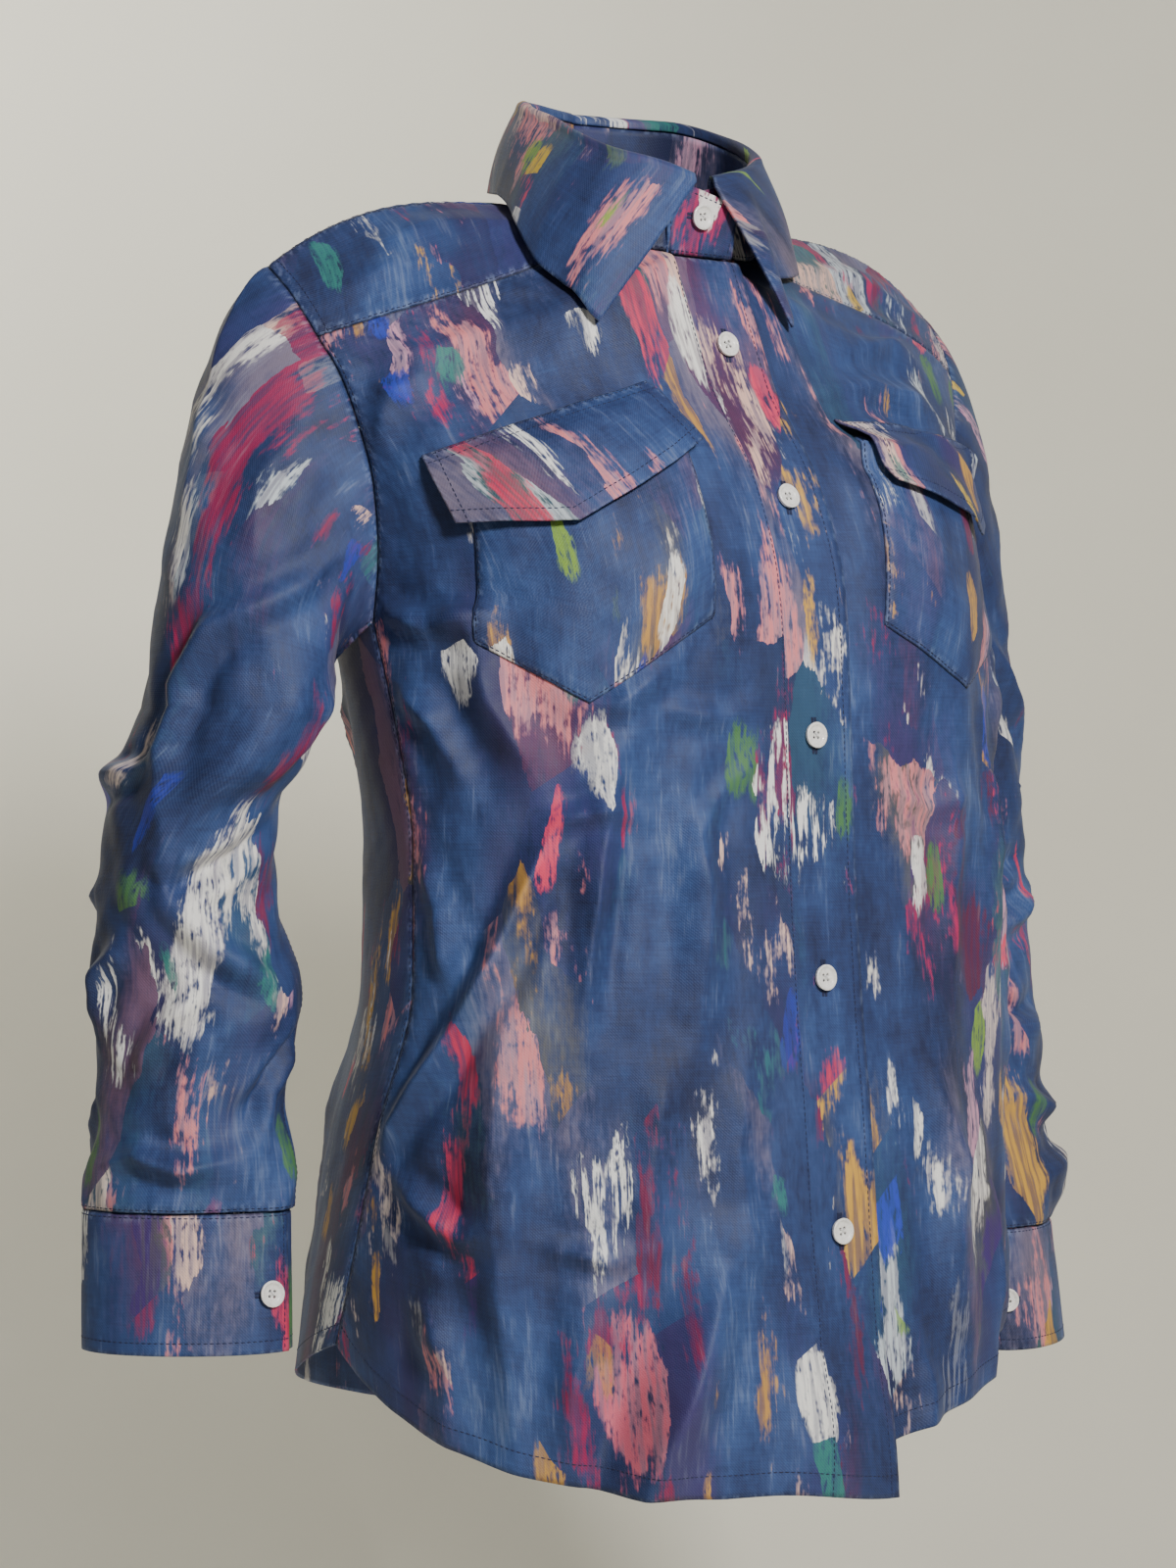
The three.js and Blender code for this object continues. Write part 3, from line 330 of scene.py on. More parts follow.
def body_rise(p):
    """The rise of the solids' folds at places on the body, in millimetres"""
    x, y, z = p[..., 0], p[..., 1], p[..., 2]
    rise = np.zeros(x.shape)
    for face, start, end, width, height in BODY_FOLDS:
        rise += smoothstep(face * (y + 30), -10, 50) * fold(x, z, start, end, width, height)
    reach = np.hypot(np.abs(x) - BUST["x"], (z - BUST["z"]) * 0.9)
    return rise + np.where(y < 0, BUST["height"] * np.exp(-((reach / BUST["width"]) ** 2)), 0)


FRONT_CREASES = {
    "right": [
        ([(178, -204), (162, -226), (155, -260), (128, -308)], 9, 6.8),
        ([(125, -316), (146, -361), (156, -384), (191, -434), (231, -481)], 6, 12.2),
        ([(97, -286), (103, -326), (111, -376), (118, -425)], 5.5, 8.1),
        ([(130, -319), (103, -311), (82, -316)], 4.5, 5.4),
        ([(150, -391), (160, -495), (157, -619)], 10, 8.1),
        ([(218, -488), (178, -516), (158, -509)], 5.5, 6.8),
        ([(142, -517), (107, -525), (86, -520)], 5, 4.6),
        ([(50, -522), (76, -588), (103, -655), (130, -730)], 10, 14),
        ([(84, -540), (112, -604), (136, -664), (160, -730)], 14, -6),
        ([(214, -214), (186, -224), (150, -218)], 6, 5.4),
        ([(206, -252), (186, -268), (168, -300)], 7, 5.4),
        ([(60, -296), (52, -352), (58, -424)], 8, 4.9),
        ([(30, -420), (42, -478), (34, -540)], 9, 4.3),
        ([(14, -262), (44, -268), (78, -262)], 5, 3),
        ([(14, -286), (38, -300), (60, -330)], 5, 3),
        ([(200, -540), (186, -580), (192, -620)], 10, 6.8),
        ([(118, -548), (130, -600), (124, -640)], 9, 5.9),
        ([(76, -436), (88, -490), (84, -530)], 7, 4.1),
        ([(196, -330), (184, -360), (182, -400)], 6, 4.6),
        ([(150, -96), (176, -110), (196, -138)], 6, 4.1),
        ([(120, -74), (150, -88), (182, -92)], 6, 3),
        ([(60, -238), (96, -262), (124, -262)], 5, 3.2),
    ],
    "left": [
        ([(24, -120), (60, -134), (100, -130)], 5, 4.1),
        ([(36, -100), (80, -91), (120, -98), (150, -116)], 6, 5.1),
        ([(66, -74), (104, -66), (140, -78)], 5.5, 4.6),
        ([(60, -112), (96, -118), (140, -140)], 5, 4.1),
        ([(150, -110), (176, -134), (190, -170)], 6, 5.4),
        ([(190, -190), (172, -230), (160, -290)], 7, 6.2),
        ([(116, -252), (128, -310), (122, -380)], 7, 6.8),
        ([(74, -262), (82, -330), (76, -402)], 8, 5.7),
        ([(150, -330), (162, -390), (156, -470)], 7, 6.5),
        ([(48, -430), (64, -490), (56, -566)], 9, 5.9),
        ([(104, -470), (114, -540), (104, -628)], 10, 7.3),
        ([(172, -480), (184, -540), (180, -620)], 9, 6.5),
        ([(28, -560), (38, -600), (30, -650)], 9, 5.4),
        ([(206, -300), (194, -330), (172, -344)], 5, 4.9),
        ([(30, -300), (60, -312), (92, -304)], 5, 3),
    ],
}
FRONT_YOKE_CREASES = {
    "right": [
        ([(60, 14), (96, 22), (140, 18)], 8, 2.7),
        ([(20, 26), (60, 38), (110, 34)], 7, 2.3),
    ],
    "left": [
        ([(20, 12), (60, 24), (104, 20), (140, 30)], 6, 3.6),
        ([(40, 36), (84, 30), (130, 44)], 7, 3.2),
    ],
}
BACK_CREASES = [
    ([(-176, -214), (-128, -238), (-84, -232)], 7, 4.2),
    ([(178, -212), (132, -240), (92, -246)], 7, 3.9),
    ([(-40, -250), (-46, -330), (-38, -410)], 10, 4.8),
    ([(28, -230), (36, -300), (30, -390)], 10, 4.5),
    ([(-110, -300), (-70, -322), (-20, -330), (40, -324), (96, -340)], 7, 3.9),
    ([(-150, -352), (-104, -366), (-56, -360)], 6, 3.6),
    ([(140, -358), (96, -378), (50, -372)], 6, 3.3),
    ([(-176, -430), (-150, -520), (-160, -600)], 10, 4.8),
    ([(-84, -440), (-76, -530), (-84, -630)], 12, 5.4),
    ([(60, -450), (66, -540), (58, -640)], 12, 5.1),
    ([(168, -440), (150, -520), (158, -610)], 10, 4.5),
    ([(-196, -250), (-170, -270), (-150, -300)], 6, 3.6),
    ([(200, -252), (176, -276), (150, -310)], 6, 3.6),
    ([(-120, -130), (-90, -160), (-80, -200)], 8, 2.7),
    ([(118, -128), (92, -158), (78, -206)], 8, 2.7),
]
SLEEVE_FOLDS = {
    "right": [
        (0.12, -200, 0.36, -345, 17, 9), (0.36, -352, 0.1, -392, 12, 7), (0.5, -292, 0.72, -300, 9, 9),
        (0.02, -400, 0.24, -424, 14, 8), (0.3, -470, 0.06, -452, 13, -6), (0.5, -395, 0.74, -430, 15, 7),
        (0.78, -330, 0.96, -352, 13, -7),
    ],
    "left": [
        (0.14, -205, 0.34, -330, 17, 8), (0.3, -372, 0.56, -350, 13, 7), (0.08, -425, 0.3, -445, 14, 7),
        (0.44, -510, 0.2, -528, 14, 9), (0.6, -430, 0.84, -455, 15, 7),
    ],
}
SLEEVE_CREASES = {
    "right": [
        ([(0.12, -178), (0.23, -203), (0.4, -224), (0.455, -252), (0.436, -283), (0.346, -318), (0.3, -349)],
         6, 7),
        ([(0.14, -322), (0.21, -337), (0.29, -349), (0.36, -344)], 5, -7),
        ([(0.33, -340), (0.3, -352), (0.224, -379), (0.104, -402)], 5, 7.9),
        ([(0.02, -418), (0.06, -428), (0.1, -442), (0.14, -465)], 5, -7.5),
        ([(0.4, -484), (0.33, -478), (0.25, -485), (0.16, -480)], 5, 5.9),
        ([(0.44, -290), (0.507, -295), (0.58, -298)], 5, 6.2),
        ([(0.24, -400), (0.3, -416), (0.34, -440)], 5, 5.5),
        ([(0.1, -240), (0.16, -262), (0.2, -300)], 7, 4.9),
        ([(0.36, -374), (0.44, -392), (0.46, -424)], 6, 5.5),
        ([(0.5, -352), (0.62, -360), (0.74, -350)], 6, 6.2),
        ([(0.62, -420), (0.74, -436), (0.86, -430)], 6, 5.9),
        ([(0.86, -260), (0.92, -300), (0.9, -340)], 8, 5.9),
        ([(0.48, -452), (0.54, -474), (0.64, -482)], 6, 4.9),
        ([(0.3, -130), (0.36, -156), (0.34, -190)], 8, 3.4),
        ([(0.62, -150), (0.7, -190), (0.74, -240)], 9, 4.5),
    ],
    "left": [
        ([(0.14, -190), (0.24, -222), (0.36, -262), (0.4, -306)], 7, 6.2),
        ([(0.1, -330), (0.2, -346), (0.32, -340)], 5, -6.2),
        ([(0.36, -352), (0.28, -372), (0.16, -384)], 5, 6.6),
        ([(0.1, -410), (0.2, -428), (0.3, -420)], 5, -5.9),
        ([(0.14, -470), (0.26, -482), (0.36, -474)], 6, 6.2),
        ([(0.2, -520), (0.32, -512), (0.44, -522)], 5, 5.9),
        ([(0.5, -330), (0.6, -346), (0.72, -340)], 6, 5.9),
        ([(0.56, -470), (0.68, -486), (0.8, -480)], 6, 5.9),
        ([(0.84, -280), (0.9, -320), (0.88, -370)], 8, 5.5),
        ([(0.62, -150), (0.68, -200), (0.72, -250)], 9, 4.5),
    ],
}
ROUND_TO_MM = 290
SLEEVE_LIMIT = 10


def creases_at(a, b, creases):
    return sum((crease(a, b, path, width, height) for path, width, height in creases), np.zeros(np.shape(a)))


def front_fine(hand, along, z):
    """What the solids leave out on a front: listed creases and a faint rumple"""
    fine = creases_at(along, z, FRONT_CREASES[hand])
    seed = 11 if hand == "right" else 12
    calm = smoothstep(along, 6, 44)
    fine = fine * mix(0.35, 1, calm)
    faint = 2.2 * rumple(along, z, seed, 80, 34, stretch=1.6) + 0.5 * rumple(along, z, seed + 20, 30, 12)
    fine += faint * mix(0.5, 1, calm)
    return fine


def sleeve_rise(hand, p, w, t):
    around, z = w * ROUND_TO_MM, p[..., 2]
    rise = np.zeros(np.shape(w))
    for turn in (-ROUND_TO_MM, 0, ROUND_TO_MM):
        for from_w, from_z, to_w, to_z, width, height in SLEEVE_FOLDS[hand]:
            start, end = (from_w * ROUND_TO_MM, from_z), (to_w * ROUND_TO_MM, to_z)
            rise += fold(around + turn, z, start, end, width, height)
        for path, width, height in SLEEVE_CREASES[hand]:
            rise += crease(around + turn, z, [(x * ROUND_TO_MM, y) for x, y in path], width, 1.25 * height)
    dice = 31 if hand == "right" else 32
    waves = rumple(np.cos(w * 6.283) * 46 + 200, z + np.sin(w * 6.283) * 46, dice, 60, 26)
    fine = rumple(np.cos(w * 6.283) * 46 + 90, z + np.sin(w * 6.283) * 46, dice + 5, 30, 12)
    rise += 2.4 * waves + 0.5 * fine
    rise = SLEEVE_LIMIT * np.tanh(rise / SLEEVE_LIMIT)
    return mix(body_rise(p), rise, smoothstep(t, 0, 0.5))


# %% [markdown]
# ## From a place to a mesh
# Every piece starts as a flat grid, as cloth does, with its corners then carried to their places on the form.
# Seams are shallow grooves with a little puckering beside them, because the thread draws the cloth together.
# Two pieces that are sewn together share one facing along the seam, so that light runs across it evenly.

# %% Sheets of cloth
EDGES = ("first_row", "last_row", "first_column", "last_column")
SEAM = {"depth": 0.75, "width": 2.0, "calm": 14}
PUCKER = {"height": 0.34, "length": 8.5, "reach": 7}
FAR_OFF = 99


def run(points, axis):
    """How far along the cloth each point lies, counted from the first row or column"""
    step = np.linalg.norm(np.diff(points, axis=axis), axis=-1)
    return np.concatenate([0 * np.take(step, [0], axis), np.cumsum(step, axis)], axis)


def lay(rows, columns, place, rise=None, fine=None, turned=False, sewn=(), free=(), shift=(0, 0),
        mirror=1, seed=1, starts=0, centred=False):
    """A sheet: rows and columns are places in the tables, place gives its points, and rise and fine lift
    them. What is fine dies out towards a seam. starts is how far from the grain line each row begins, and the
    grain line of a centred sheet is its middle column."""
    c, r = np.meshgrid(columns, rows)
    base = place(c, r)
    across, down = run(base, 1), run(base, 0)
    gap = {
        "first_row": down, "last_row": down[-1:] - down,
        "first_column": across, "last_column": across[:, -1:] - across,
    }
    lift = rise(base) if rise else np.zeros(c.shape)
    if fine:
        calm = np.prod([smoothstep(gap[edge], 0, SEAM["calm"]) for edge in sewn], axis=0) if sewn else 1
        lift = lift + fine(base, c, r) * calm
    for edge in sewn:
        side = across if "row" in edge else down
        wander = side + 3 * np.sin(side / 23 + seed)
        pucker = np.sin(wander * 6.28 / PUCKER["length"] + seed) * np.exp(-gap[edge] / PUCKER["reach"])
        lift += -SEAM["depth"] * np.exp(-((gap[edge] / SEAM["width"]) ** 2))
        lift += PUCKER["height"] * pucker * smoothstep(gap[edge], 0, SEAM["width"])
    near = [np.minimum.reduce([gap[e] for e in edges]) if edges else FAR_OFF + 0 * across
            for edges in (sewn, free)]
    middle = across[:, [len(columns) // 2]] if centred else 0
    u = mirror * (across + starts - middle) + shift[0]
    v = down.mean(1, keepdims=True) + 0 * across + shift[1]
    return {
        "rows": np.asarray(rows, float), "columns": np.asarray(columns, float),
        "base": base, "lift": lift, "turned": turned, "gap": gap, "sewn": sewn,
        "uv": np.stack([u, v], -1), "near": np.stack(near, -1),
    }


def facings(points, turned):
    """The way each point of a sheet faces"""
    one, other = points[1:, 1:] - points[:-1, :-1], points[1:, :-1] - points[:-1, 1:]
    across = np.cross(one, other) * (-1 if turned else 1)
    total = np.zeros(points.shape)
    for rows in (slice(0, -1), slice(1, None)):
        for columns in (slice(0, -1), slice(1, None)):
            total[rows, columns] += across
    return unit(total)


def shared_facings(sheets, key):
    """The facings of several sheets, averaged where they meet"""
    own = [facings(s[key], s["turned"]) for s in sheets]
    flat = np.concatenate([n.reshape(-1, 3) for n in own])
    spots = np.concatenate([np.round(s[key].reshape(-1, 3) * 50) for s in sheets]).astype(np.int64)
    keys = spots @ np.array([1, 200003, 40000400009])
    _, group = np.unique(keys, return_inverse=True)
    total = unit(np.stack([np.bincount(group, flat[:, k]) for k in range(3)], -1)[group])
    agreed = (total * flat).sum(-1, keepdims=True) > 0.1
    result = np.where(agreed, total, flat)
    at = 0
    for sheet in sheets:
        count = sheet[key].shape[0] * sheet[key].shape[1]
        sheet["facing"] = result[at:at + count].reshape(sheet[key].shape)
        at += count


def settle(sheets):
    """Lifts sheets by their folds, together, so that they still meet along their seams"""
    shared_facings(sheets, "base")
    for sheet in sheets:
        sheet["cloth"] = sheet["base"] + sheet["facing"] * sheet["lift"][..., None]
    shared_facings(sheets, "cloth")
    for sheet in sheets:
        p = sheet["cloth"]
        for edge in sheet["sewn"]:
            a, b = {"first_row": (p[0], p[1]), "last_row": (p[-1], p[-2]),
                    "first_column": (p[:, 0], p[:, 1]), "last_column": (p[:, -1], p[:, -2])}[edge]
            way = b - a
            a += 0.16 * way / np.maximum(np.linalg.norm(way, axis=-1, keepdims=True), 0.16)


def clear_selection():
    if bpy.context.mode != "OBJECT":
        bpy.ops.object.mode_set(mode="OBJECT")
    bpy.ops.object.select_all(action="DESELECT")


def choose(*objects):
    clear_selection()
    for thing in objects:
        thing.select_set(True)
    bpy.context.view_layer.objects.active = objects[0]


def apply_modifier(thing, kind, **settings):
    choose(thing)
    modifier = thing.modifiers.new(kind.title(), kind)
    for name, value in settings.items():
        setattr(modifier, name, value)
    bpy.ops.object.modifier_apply(modifier=modifier.name)


def corners_of(thing):
    flat = np.empty(len(thing.data.vertices) * 3)
    thing.data.vertices.foreach_get("co", flat)
    return flat.reshape(-1, 3)


def in_edit_mode(work, **settings):
    """Runs one tool of edit mode on the whole of the active object"""
    bpy.ops.object.mode_set(mode="EDIT")
    bpy.ops.mesh.select_all(action="SELECT")
    work(**settings)
    bpy.ops.object.mode_set(mode="OBJECT")


def grid_mesh(sheet):
    """A flat grid from the Add menu, with each corner carried to its place on the sheet"""
    rows, columns = sheet["cloth"].shape[:2]
    clear_selection()
    bpy.ops.mesh.primitive_grid_add(x_subdivisions=columns - 1, y_subdivisions=rows - 1, size=1)
    thing = bpy.context.object
    mesh = thing.data
    flat = corners_of(thing)
    j = np.rint((flat[:, 0] + 0.5) * (columns - 1)).astype(int)
    i = np.rint((flat[:, 1] + 0.5) * (rows - 1)).astype(int)
    mesh.vertices.foreach_set("co", (sheet["cloth"][i, j] * MM).ravel())
    corner = np.empty(len(mesh.loops), int)
    mesh.loops.foreach_get("vertex_index", corner)
    mesh.uv_layers[0].name = "cloth"
    mesh.uv_layers["cloth"].data.foreach_set("uv", (sheet["uv"][i, j][corner] * MM).ravel())
    edge = mesh.uv_layers.new(name="edge")
    edge.data.foreach_set("uv", (sheet["near"][i, j][corner] * MM).ravel())
    if sheet["turned"]:
        choose(thing)
        in_edit_mode(bpy.ops.mesh.flip_normals)
    return thing


pieces = {}


def cut(name, sheets, thickness=1.2):
    """One cut piece: its sheets joined, given the thickness of the cloth, and put in place of its solid"""
    parts = [grid_mesh(s) for s in sheets]
    choose(*parts)
    if len(parts) > 1:
        bpy.ops.object.join()
    thing = bpy.context.object
    thing.name = thing.data.name = f"cloth_{name}"
    in_edit_mode(bpy.ops.mesh.remove_doubles, threshold=0.00002)
    area = sum(f.area for f in thing.data.polygons)
    apply_modifier(thing, "SOLIDIFY", thickness=thickness * MM, offset=-1, use_rim=True)
    choose(thing)
    bpy.ops.object.shade_smooth()
    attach(thing, "root")
    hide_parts(name)
    pieces[name] = {"object": thing, "sheets": sheets, "area": area}
    print(f"{name}: {len(thing.data.polygons)} faces, {area * 1e4:.0f} cm2")


# %% [markdown]
# The fronts come first. Each carries a band down its centre edge, turned under and stitched down, and ends
# below the yoke. The two yokes of the front follow the same table up to the shoulder seam.

# %% Fronts and their yokes
HANDS = {"right": -1, "left": 1}
FINE = 1
LOWER = 28 // FINE
UPPER = 16 // FINE
LOWER_ROWS = np.linspace(0, CHEST, CHEST * LOWER + 1)


def upper_rows(start, end):
    return np.linspace(start, end, (end - start) * UPPER + 1)


def cut_away(table, rows):
    """How far out each row of a sheet begins, where the neckline is cut into it"""
    return through(table["inX"], rows)[:, None] - table["inX"][0]


FRONT_SHARES = np.linspace(0, 1, 140 // FINE + 1)
BAND = {"right": (-24, 17), "left": (-18, 17)}
sheets = {}
for hand, side in HANDS.items():
    rows = np.concatenate([LOWER_ROWS, upper_rows(CHEST, FRONT_YOKE)[1:]])
    band_x = np.linspace(*BAND[hand], 14 // FINE + 1)

    def fine_on_front(p, u, row, hand=hand):
        return front_fine(hand, u * section(FRONT, u, row)[1], p[..., 2])

    def fine_on_band(p, x, row, hand=hand):
        return front_fine(hand, 0 * x, p[..., 2])

    def fine_on_yoke(p, u, row, hand=hand):
        along, up = u * section(FRONT, u, row)[1], (row - FRONT_YOKE) * 28
        return rumple(along, up, 15, 50, 22) + creases_at(along, up, FRONT_YOKE_CREASES[hand])

    sheets[f"front_{hand}"] = [
        lay(rows, FRONT_SHARES, lambda u, row, s=side: front_at(s, u, row), body_rise, fine_on_front,
            turned=side < 0, sewn=("last_row", "last_column"), free=("first_row",), mirror=side,
            shift=(side * 17, 0), seed=2, starts=cut_away(FRONT, rows)),
        lay(rows[rows <= NECK], band_x, lambda x, row, s=side: band_at(s, x, row), body_rise, fine_on_band,
            turned=side < 0, sewn=("last_row",), free=("first_row", "first_column"), mirror=side,
            shift=(side * band_x[0], 0), seed=3),
    ]
    sheets[f"front_yoke_{hand}"] = [
        lay(upper_rows(FRONT_YOKE, SHOULDER), FRONT_SHARES, lambda u, row, s=side: front_at(s, u, row),
            body_rise, fine_on_yoke, turned=side < 0, sewn=EDGES, mirror=side, shift=(side * 340, 40), seed=4,
            starts=cut_away(FRONT, upper_rows(FRONT_YOKE, SHOULDER))),
    ]

# %% [markdown]
# The back is one piece from side seam to side seam. Its yoke parts in two round the neck.

# %% Back and its yoke
BACK_SHARES = np.linspace(-1, 1, 160 // FINE + 1)
HALF_SHARES = np.linspace(0, 1, 80 // FINE + 1)


def back_place(u, row):
    return back_at(np.where(u < 0, -1, 1), np.abs(u), row)


def fine_on_back(p, u, row):
    along = u * section(BACK, np.abs(u), row)[1]
    fine = creases_at(along, p[..., 2], BACK_CREASES) * smoothstep(-p[..., 2], 100, 130)
    fine += 2.2 * rumple(along, p[..., 2], 41, 80, 34, stretch=1.6)
    return fine + 0.5 * rumple(along, p[..., 2], 43, 30, 12)


sheets["back"] = [
    lay(np.concatenate([LOWER_ROWS, upper_rows(CHEST, BACK_YOKE)[1:]]), BACK_SHARES, back_place, body_rise,
        fine_on_back, turned=True, sewn=("last_row", "first_column", "last_column"), free=("first_row",),
        shift=(1170, 0), centred=True),
]
sheets["back_yoke"] = [
    lay(upper_rows(BACK_YOKE, BACK_NECK), BACK_SHARES, back_place, body_rise, fine_on_back,
        turned=True, sewn=("first_row", "first_column", "last_column"), shift=(1720, 100), centred=True),
    *[lay(upper_rows(BACK_NECK, SHOULDER), HALF_SHARES, lambda u, row, s=s: back_at(s, u, row),
          body_rise, lambda p, u, row, s=s: fine_on_back(p, s * u, row), turned=s > 0,
          sewn=("last_row", "first_column", "last_column"), mirror=s, shift=(1720, 230),
          starts=cut_away(BACK, upper_rows(BACK_NECK, SHOULDER)))
      for s in (-1, 1)],
]

# %% [markdown]
# A sleeve starts at the armhole, whose places are the fronts' and the back's own, swells out over the arm and
# runs down a stack of turned ovals to the cuff.

# %% Sleeves
RING_NAMES = ["x", "y", "z", "across", "deep", "turn"]
SLEEVE_RINGS = {
    "right": columns_of(RING_NAMES, [
        (235, 8, -262, 41, 52, 0), (241, 16, -286, 43, 52, 4), (247, 28, -312, 42, 48, 12),
        (248, 30, -350, 44, 42, 22), (247, 24, -400, 50, 38, 30), (250, 22, -455, 46, 35, 34),
        (253, 19, -490, 52, 31, 36), (254, 18, -506, 53, 28, 36),
    ]),
    "left": columns_of(RING_NAMES, [
        (232, 18, -262, 41, 50, 0), (236, 19, -300, 42, 48, 4), (240, 20, -340, 43, 46, 10),
        (243, 16, -385, 43, 44, 16), (246, 6, -435, 44, 40, 24), (247, -5, -485, 45, 37, 30),
        (252, -13, -530, 50, 33, 34), (253, -16, -546, 48, 28, 36),
    ]),
}
LAST_RING = 7
CAP_TOP, CAP_ARMPIT = np.array([0.84, 0, -0.42]), np.array([0.75, 0, -0.66])
CAP_END, CAP_SWELL = np.array([0.06, 0.04, -1]), 0.6


def ring_at(hand, w, row):
    x, y, z, across, deep, turn = [through(SLEEVE_RINGS[hand][n], row) for n in RING_NAMES]
    angle, turn = math.pi * (1 + 2 * w), np.radians(turn)
    a, b = across * np.cos(angle), deep * np.sin(angle)
    px = x + a * np.cos(turn) - b * np.sin(turn)
    py = y + a * np.sin(turn) + b * np.cos(turn)
    return np.stack([HANDS[hand] * px, py, z + 0 * px], -1)


def sleeve_at(hand, w, t):
    side = HANDS[hand]
    mirror = np.array([side, 1, 1])
    up = np.where(w <= 0.5, w / 0.5, (1 - w) / 0.5)
    row = mix(CHEST, SHOULDER, up)
    start = np.where((w <= 0.5)[..., None], front_at(side, 1 + 0 * w, row), back_at(side, 1 + 0 * w, row))
    end = ring_at(hand, w, 0 * w)
    pull = np.linalg.norm(start - end, axis=-1, keepdims=True) * CAP_SWELL
    low = (1 - np.abs(w - 0.5) / 0.5)[..., None]
    leave = unit(mix(CAP_ARMPIT, CAP_TOP, low)) * pull * mirror
    arrive = CAP_END * mirror * pull
    f = np.clip(t, 0, 1)[..., None]
    cap = between(start, end, leave, arrive, f)
    return np.where((t > 1)[..., None], ring_at(hand, w, np.maximum(t - 1, 0)), cap)


AROUND = np.linspace(0, 1, 14 * UPPER + 1)
CAP_STEPS = np.linspace(0, 1, 44 // FINE + 1)
ARM_STEPS = np.linspace(1, 8, 7 * (20 // FINE) + 1)[1:]
for hand, side in HANDS.items():
    def fine_on_sleeve(p, w, t, hand=hand):
        from_seam = np.minimum(w, 1 - w) * ROUND_TO_MM
        under = -0.6 * np.exp(-((from_seam / 2) ** 2)) * smoothstep(t, 0, 0.2)
        return sleeve_rise(hand, p, w, t) + under

    sheet = lay(np.concatenate([CAP_STEPS, ARM_STEPS]), AROUND, lambda w, t, h=hand: sleeve_at(h, w, t),
                turned=side > 0, sewn=("first_row", "last_row"),
                shift=(2300 if side < 0 else 3100, 0), seed=6)
    c, r = np.meshgrid(sheet["columns"], sheet["rows"])
    sheet["lift"] += fine_on_sleeve(sheet["base"], c, r)
    sheets[f"sleeve_{hand}"] = [sheet]

settle([s for group in sheets.values() for s in group])
for name, group in sheets.items():
    cut(name, group)

# %% [markdown]
# ## Collar, cuffs, pockets and flaps
# These are doubled and stiffened, so they keep smooth faces and crisp edges. The collar rises from the neck
# on its stand, rolls over and falls to its points.

# %% Stand and collar
COLLAR_FOLD = columns_of(["x", "y", "z"], [
    (-21, -93, -1), (17, -89, 10), (45, -69, 20), (58, -39, 34), (60, -6, 48), (46, 27, 60), (0, 51, 63),
])
LEAF_FRONT = columns_of(["right", "left", "right row", "left row", "lift"], [
    (0.2, 0.1, 9.23, 9.3, 7), (0.333, 0.16, 9.69, 9.66, 6), (0.35, 0.16, 10.11, 10.8, 5),
    (0.24, 0.1, 11.43, 12, 5), (0.09, 0.09, 13, 13, 5),
])
LEAF_BACK = columns_of(["right", "left", "row", "lift"], [
    (0.09, 0.09, 13, 5), (0.08, 0.08, 12, 5), (0, 0, 10.8, 5),
])
LEAF_ROLL = columns_of(["out", "up"], [
    (-1.9, -4.5), (-1.9, -1.5), (-0.6, 0.8), (1.8, 1.4), (4.8, 0), (6.4, -4),
])
STAND_DROP = 5


def fold_at(side, place, up):
    x, y, z = [through(COLLAR_FOLD[n], place) for n in "xyz"]
    y = y + np.where(side > 0, tuck(1, x), 0)
    return lean(np.stack([side * x, y, z + up], -1))


def foot_at(side, place):
    """The neckline, by the collar's places: along the band, up the front to the shoulder and round behind"""
    right = side < 0
    first = np.where(right, BAND["right"][0] + 3, BAND["left"][0])
    x = mix(first, 17, np.clip(place, 0, 1))
    row = np.clip(place - 1 + NECK, NECK, SHOULDER)
    behind = np.clip(4 + SHOULDER - place, BACK_NECK, SHOULDER)
    both = []
    for s in (-1, 1):
        band = band_at(s, x, NECK + 0 * x)
        front, back = front_at(s, 0 * x, row), back_at(s, 0 * x, behind)
        on_front = np.where((place <= 1)[..., None], band, front)
        both.append(np.where((place <= 4)[..., None], on_front, back))
    return np.where(right[..., None], both[0], both[1])


def moved_out(surface, u, row, out, facing, rise):
    """Points of a surface, moved out along the way that it faces"""
    p = surface(u, row)
    along = surface(u + 0.02, row) - surface(u - 0.02, row)
    up = surface(u, row + 0.02) - surface(u, row - 0.02)
    normal = unit(np.cross(along, up))
    normal *= np.where((normal * facing).sum(-1, keepdims=True) < 0, -1, 1)
    return p + normal * (rise(p) + out)[..., None]


def leaf_edge(side, place):
    """The collar's lower edge, which lies a little off the cloth of the fronts and the back"""
    both = []
    for hand, s in HANDS.items():
        front, behind = np.clip(place, 0, 4), np.clip(place - 4, 0, 2)
        share, row, lift = [through(LEAF_FRONT[n], front) for n in (hand, hand + " row", "lift")]
        ahead = moved_out(lambda u, r: front_at(s, u, r), share, row, lift, np.array([0, -0.6, 1]), body_rise)
        share, row, lift = [through(LEAF_BACK[n], behind) for n in (hand, "row", "lift")]
        back = moved_out(lambda u, r: back_at(s, u, r), share, row, lift, np.array([0, 0.6, 1]), body_rise)
        both.append(np.where((place <= 4)[..., None], ahead, back))
    return np.where((side < 0)[..., None], *both)


def leaf_at(side, place, k):
    crest = fold_at(side, place, 0)
    out = crest - np.array([0, -12, 0])
    out[..., 2] = 0
    out = unit(out)
    roll = np.clip(k, 0, 5)
    rolled = crest + out * through(LEAF_ROLL["out"], roll)[..., None]
    rolled[..., 2] += through(LEAF_ROLL["up"], roll)
    t = np.clip((k - 5) / 5, 0, 1)[..., None]
    return mix(rolled, leaf_edge(side, place), t) + out * 2.5 * np.sin(math.pi * t)


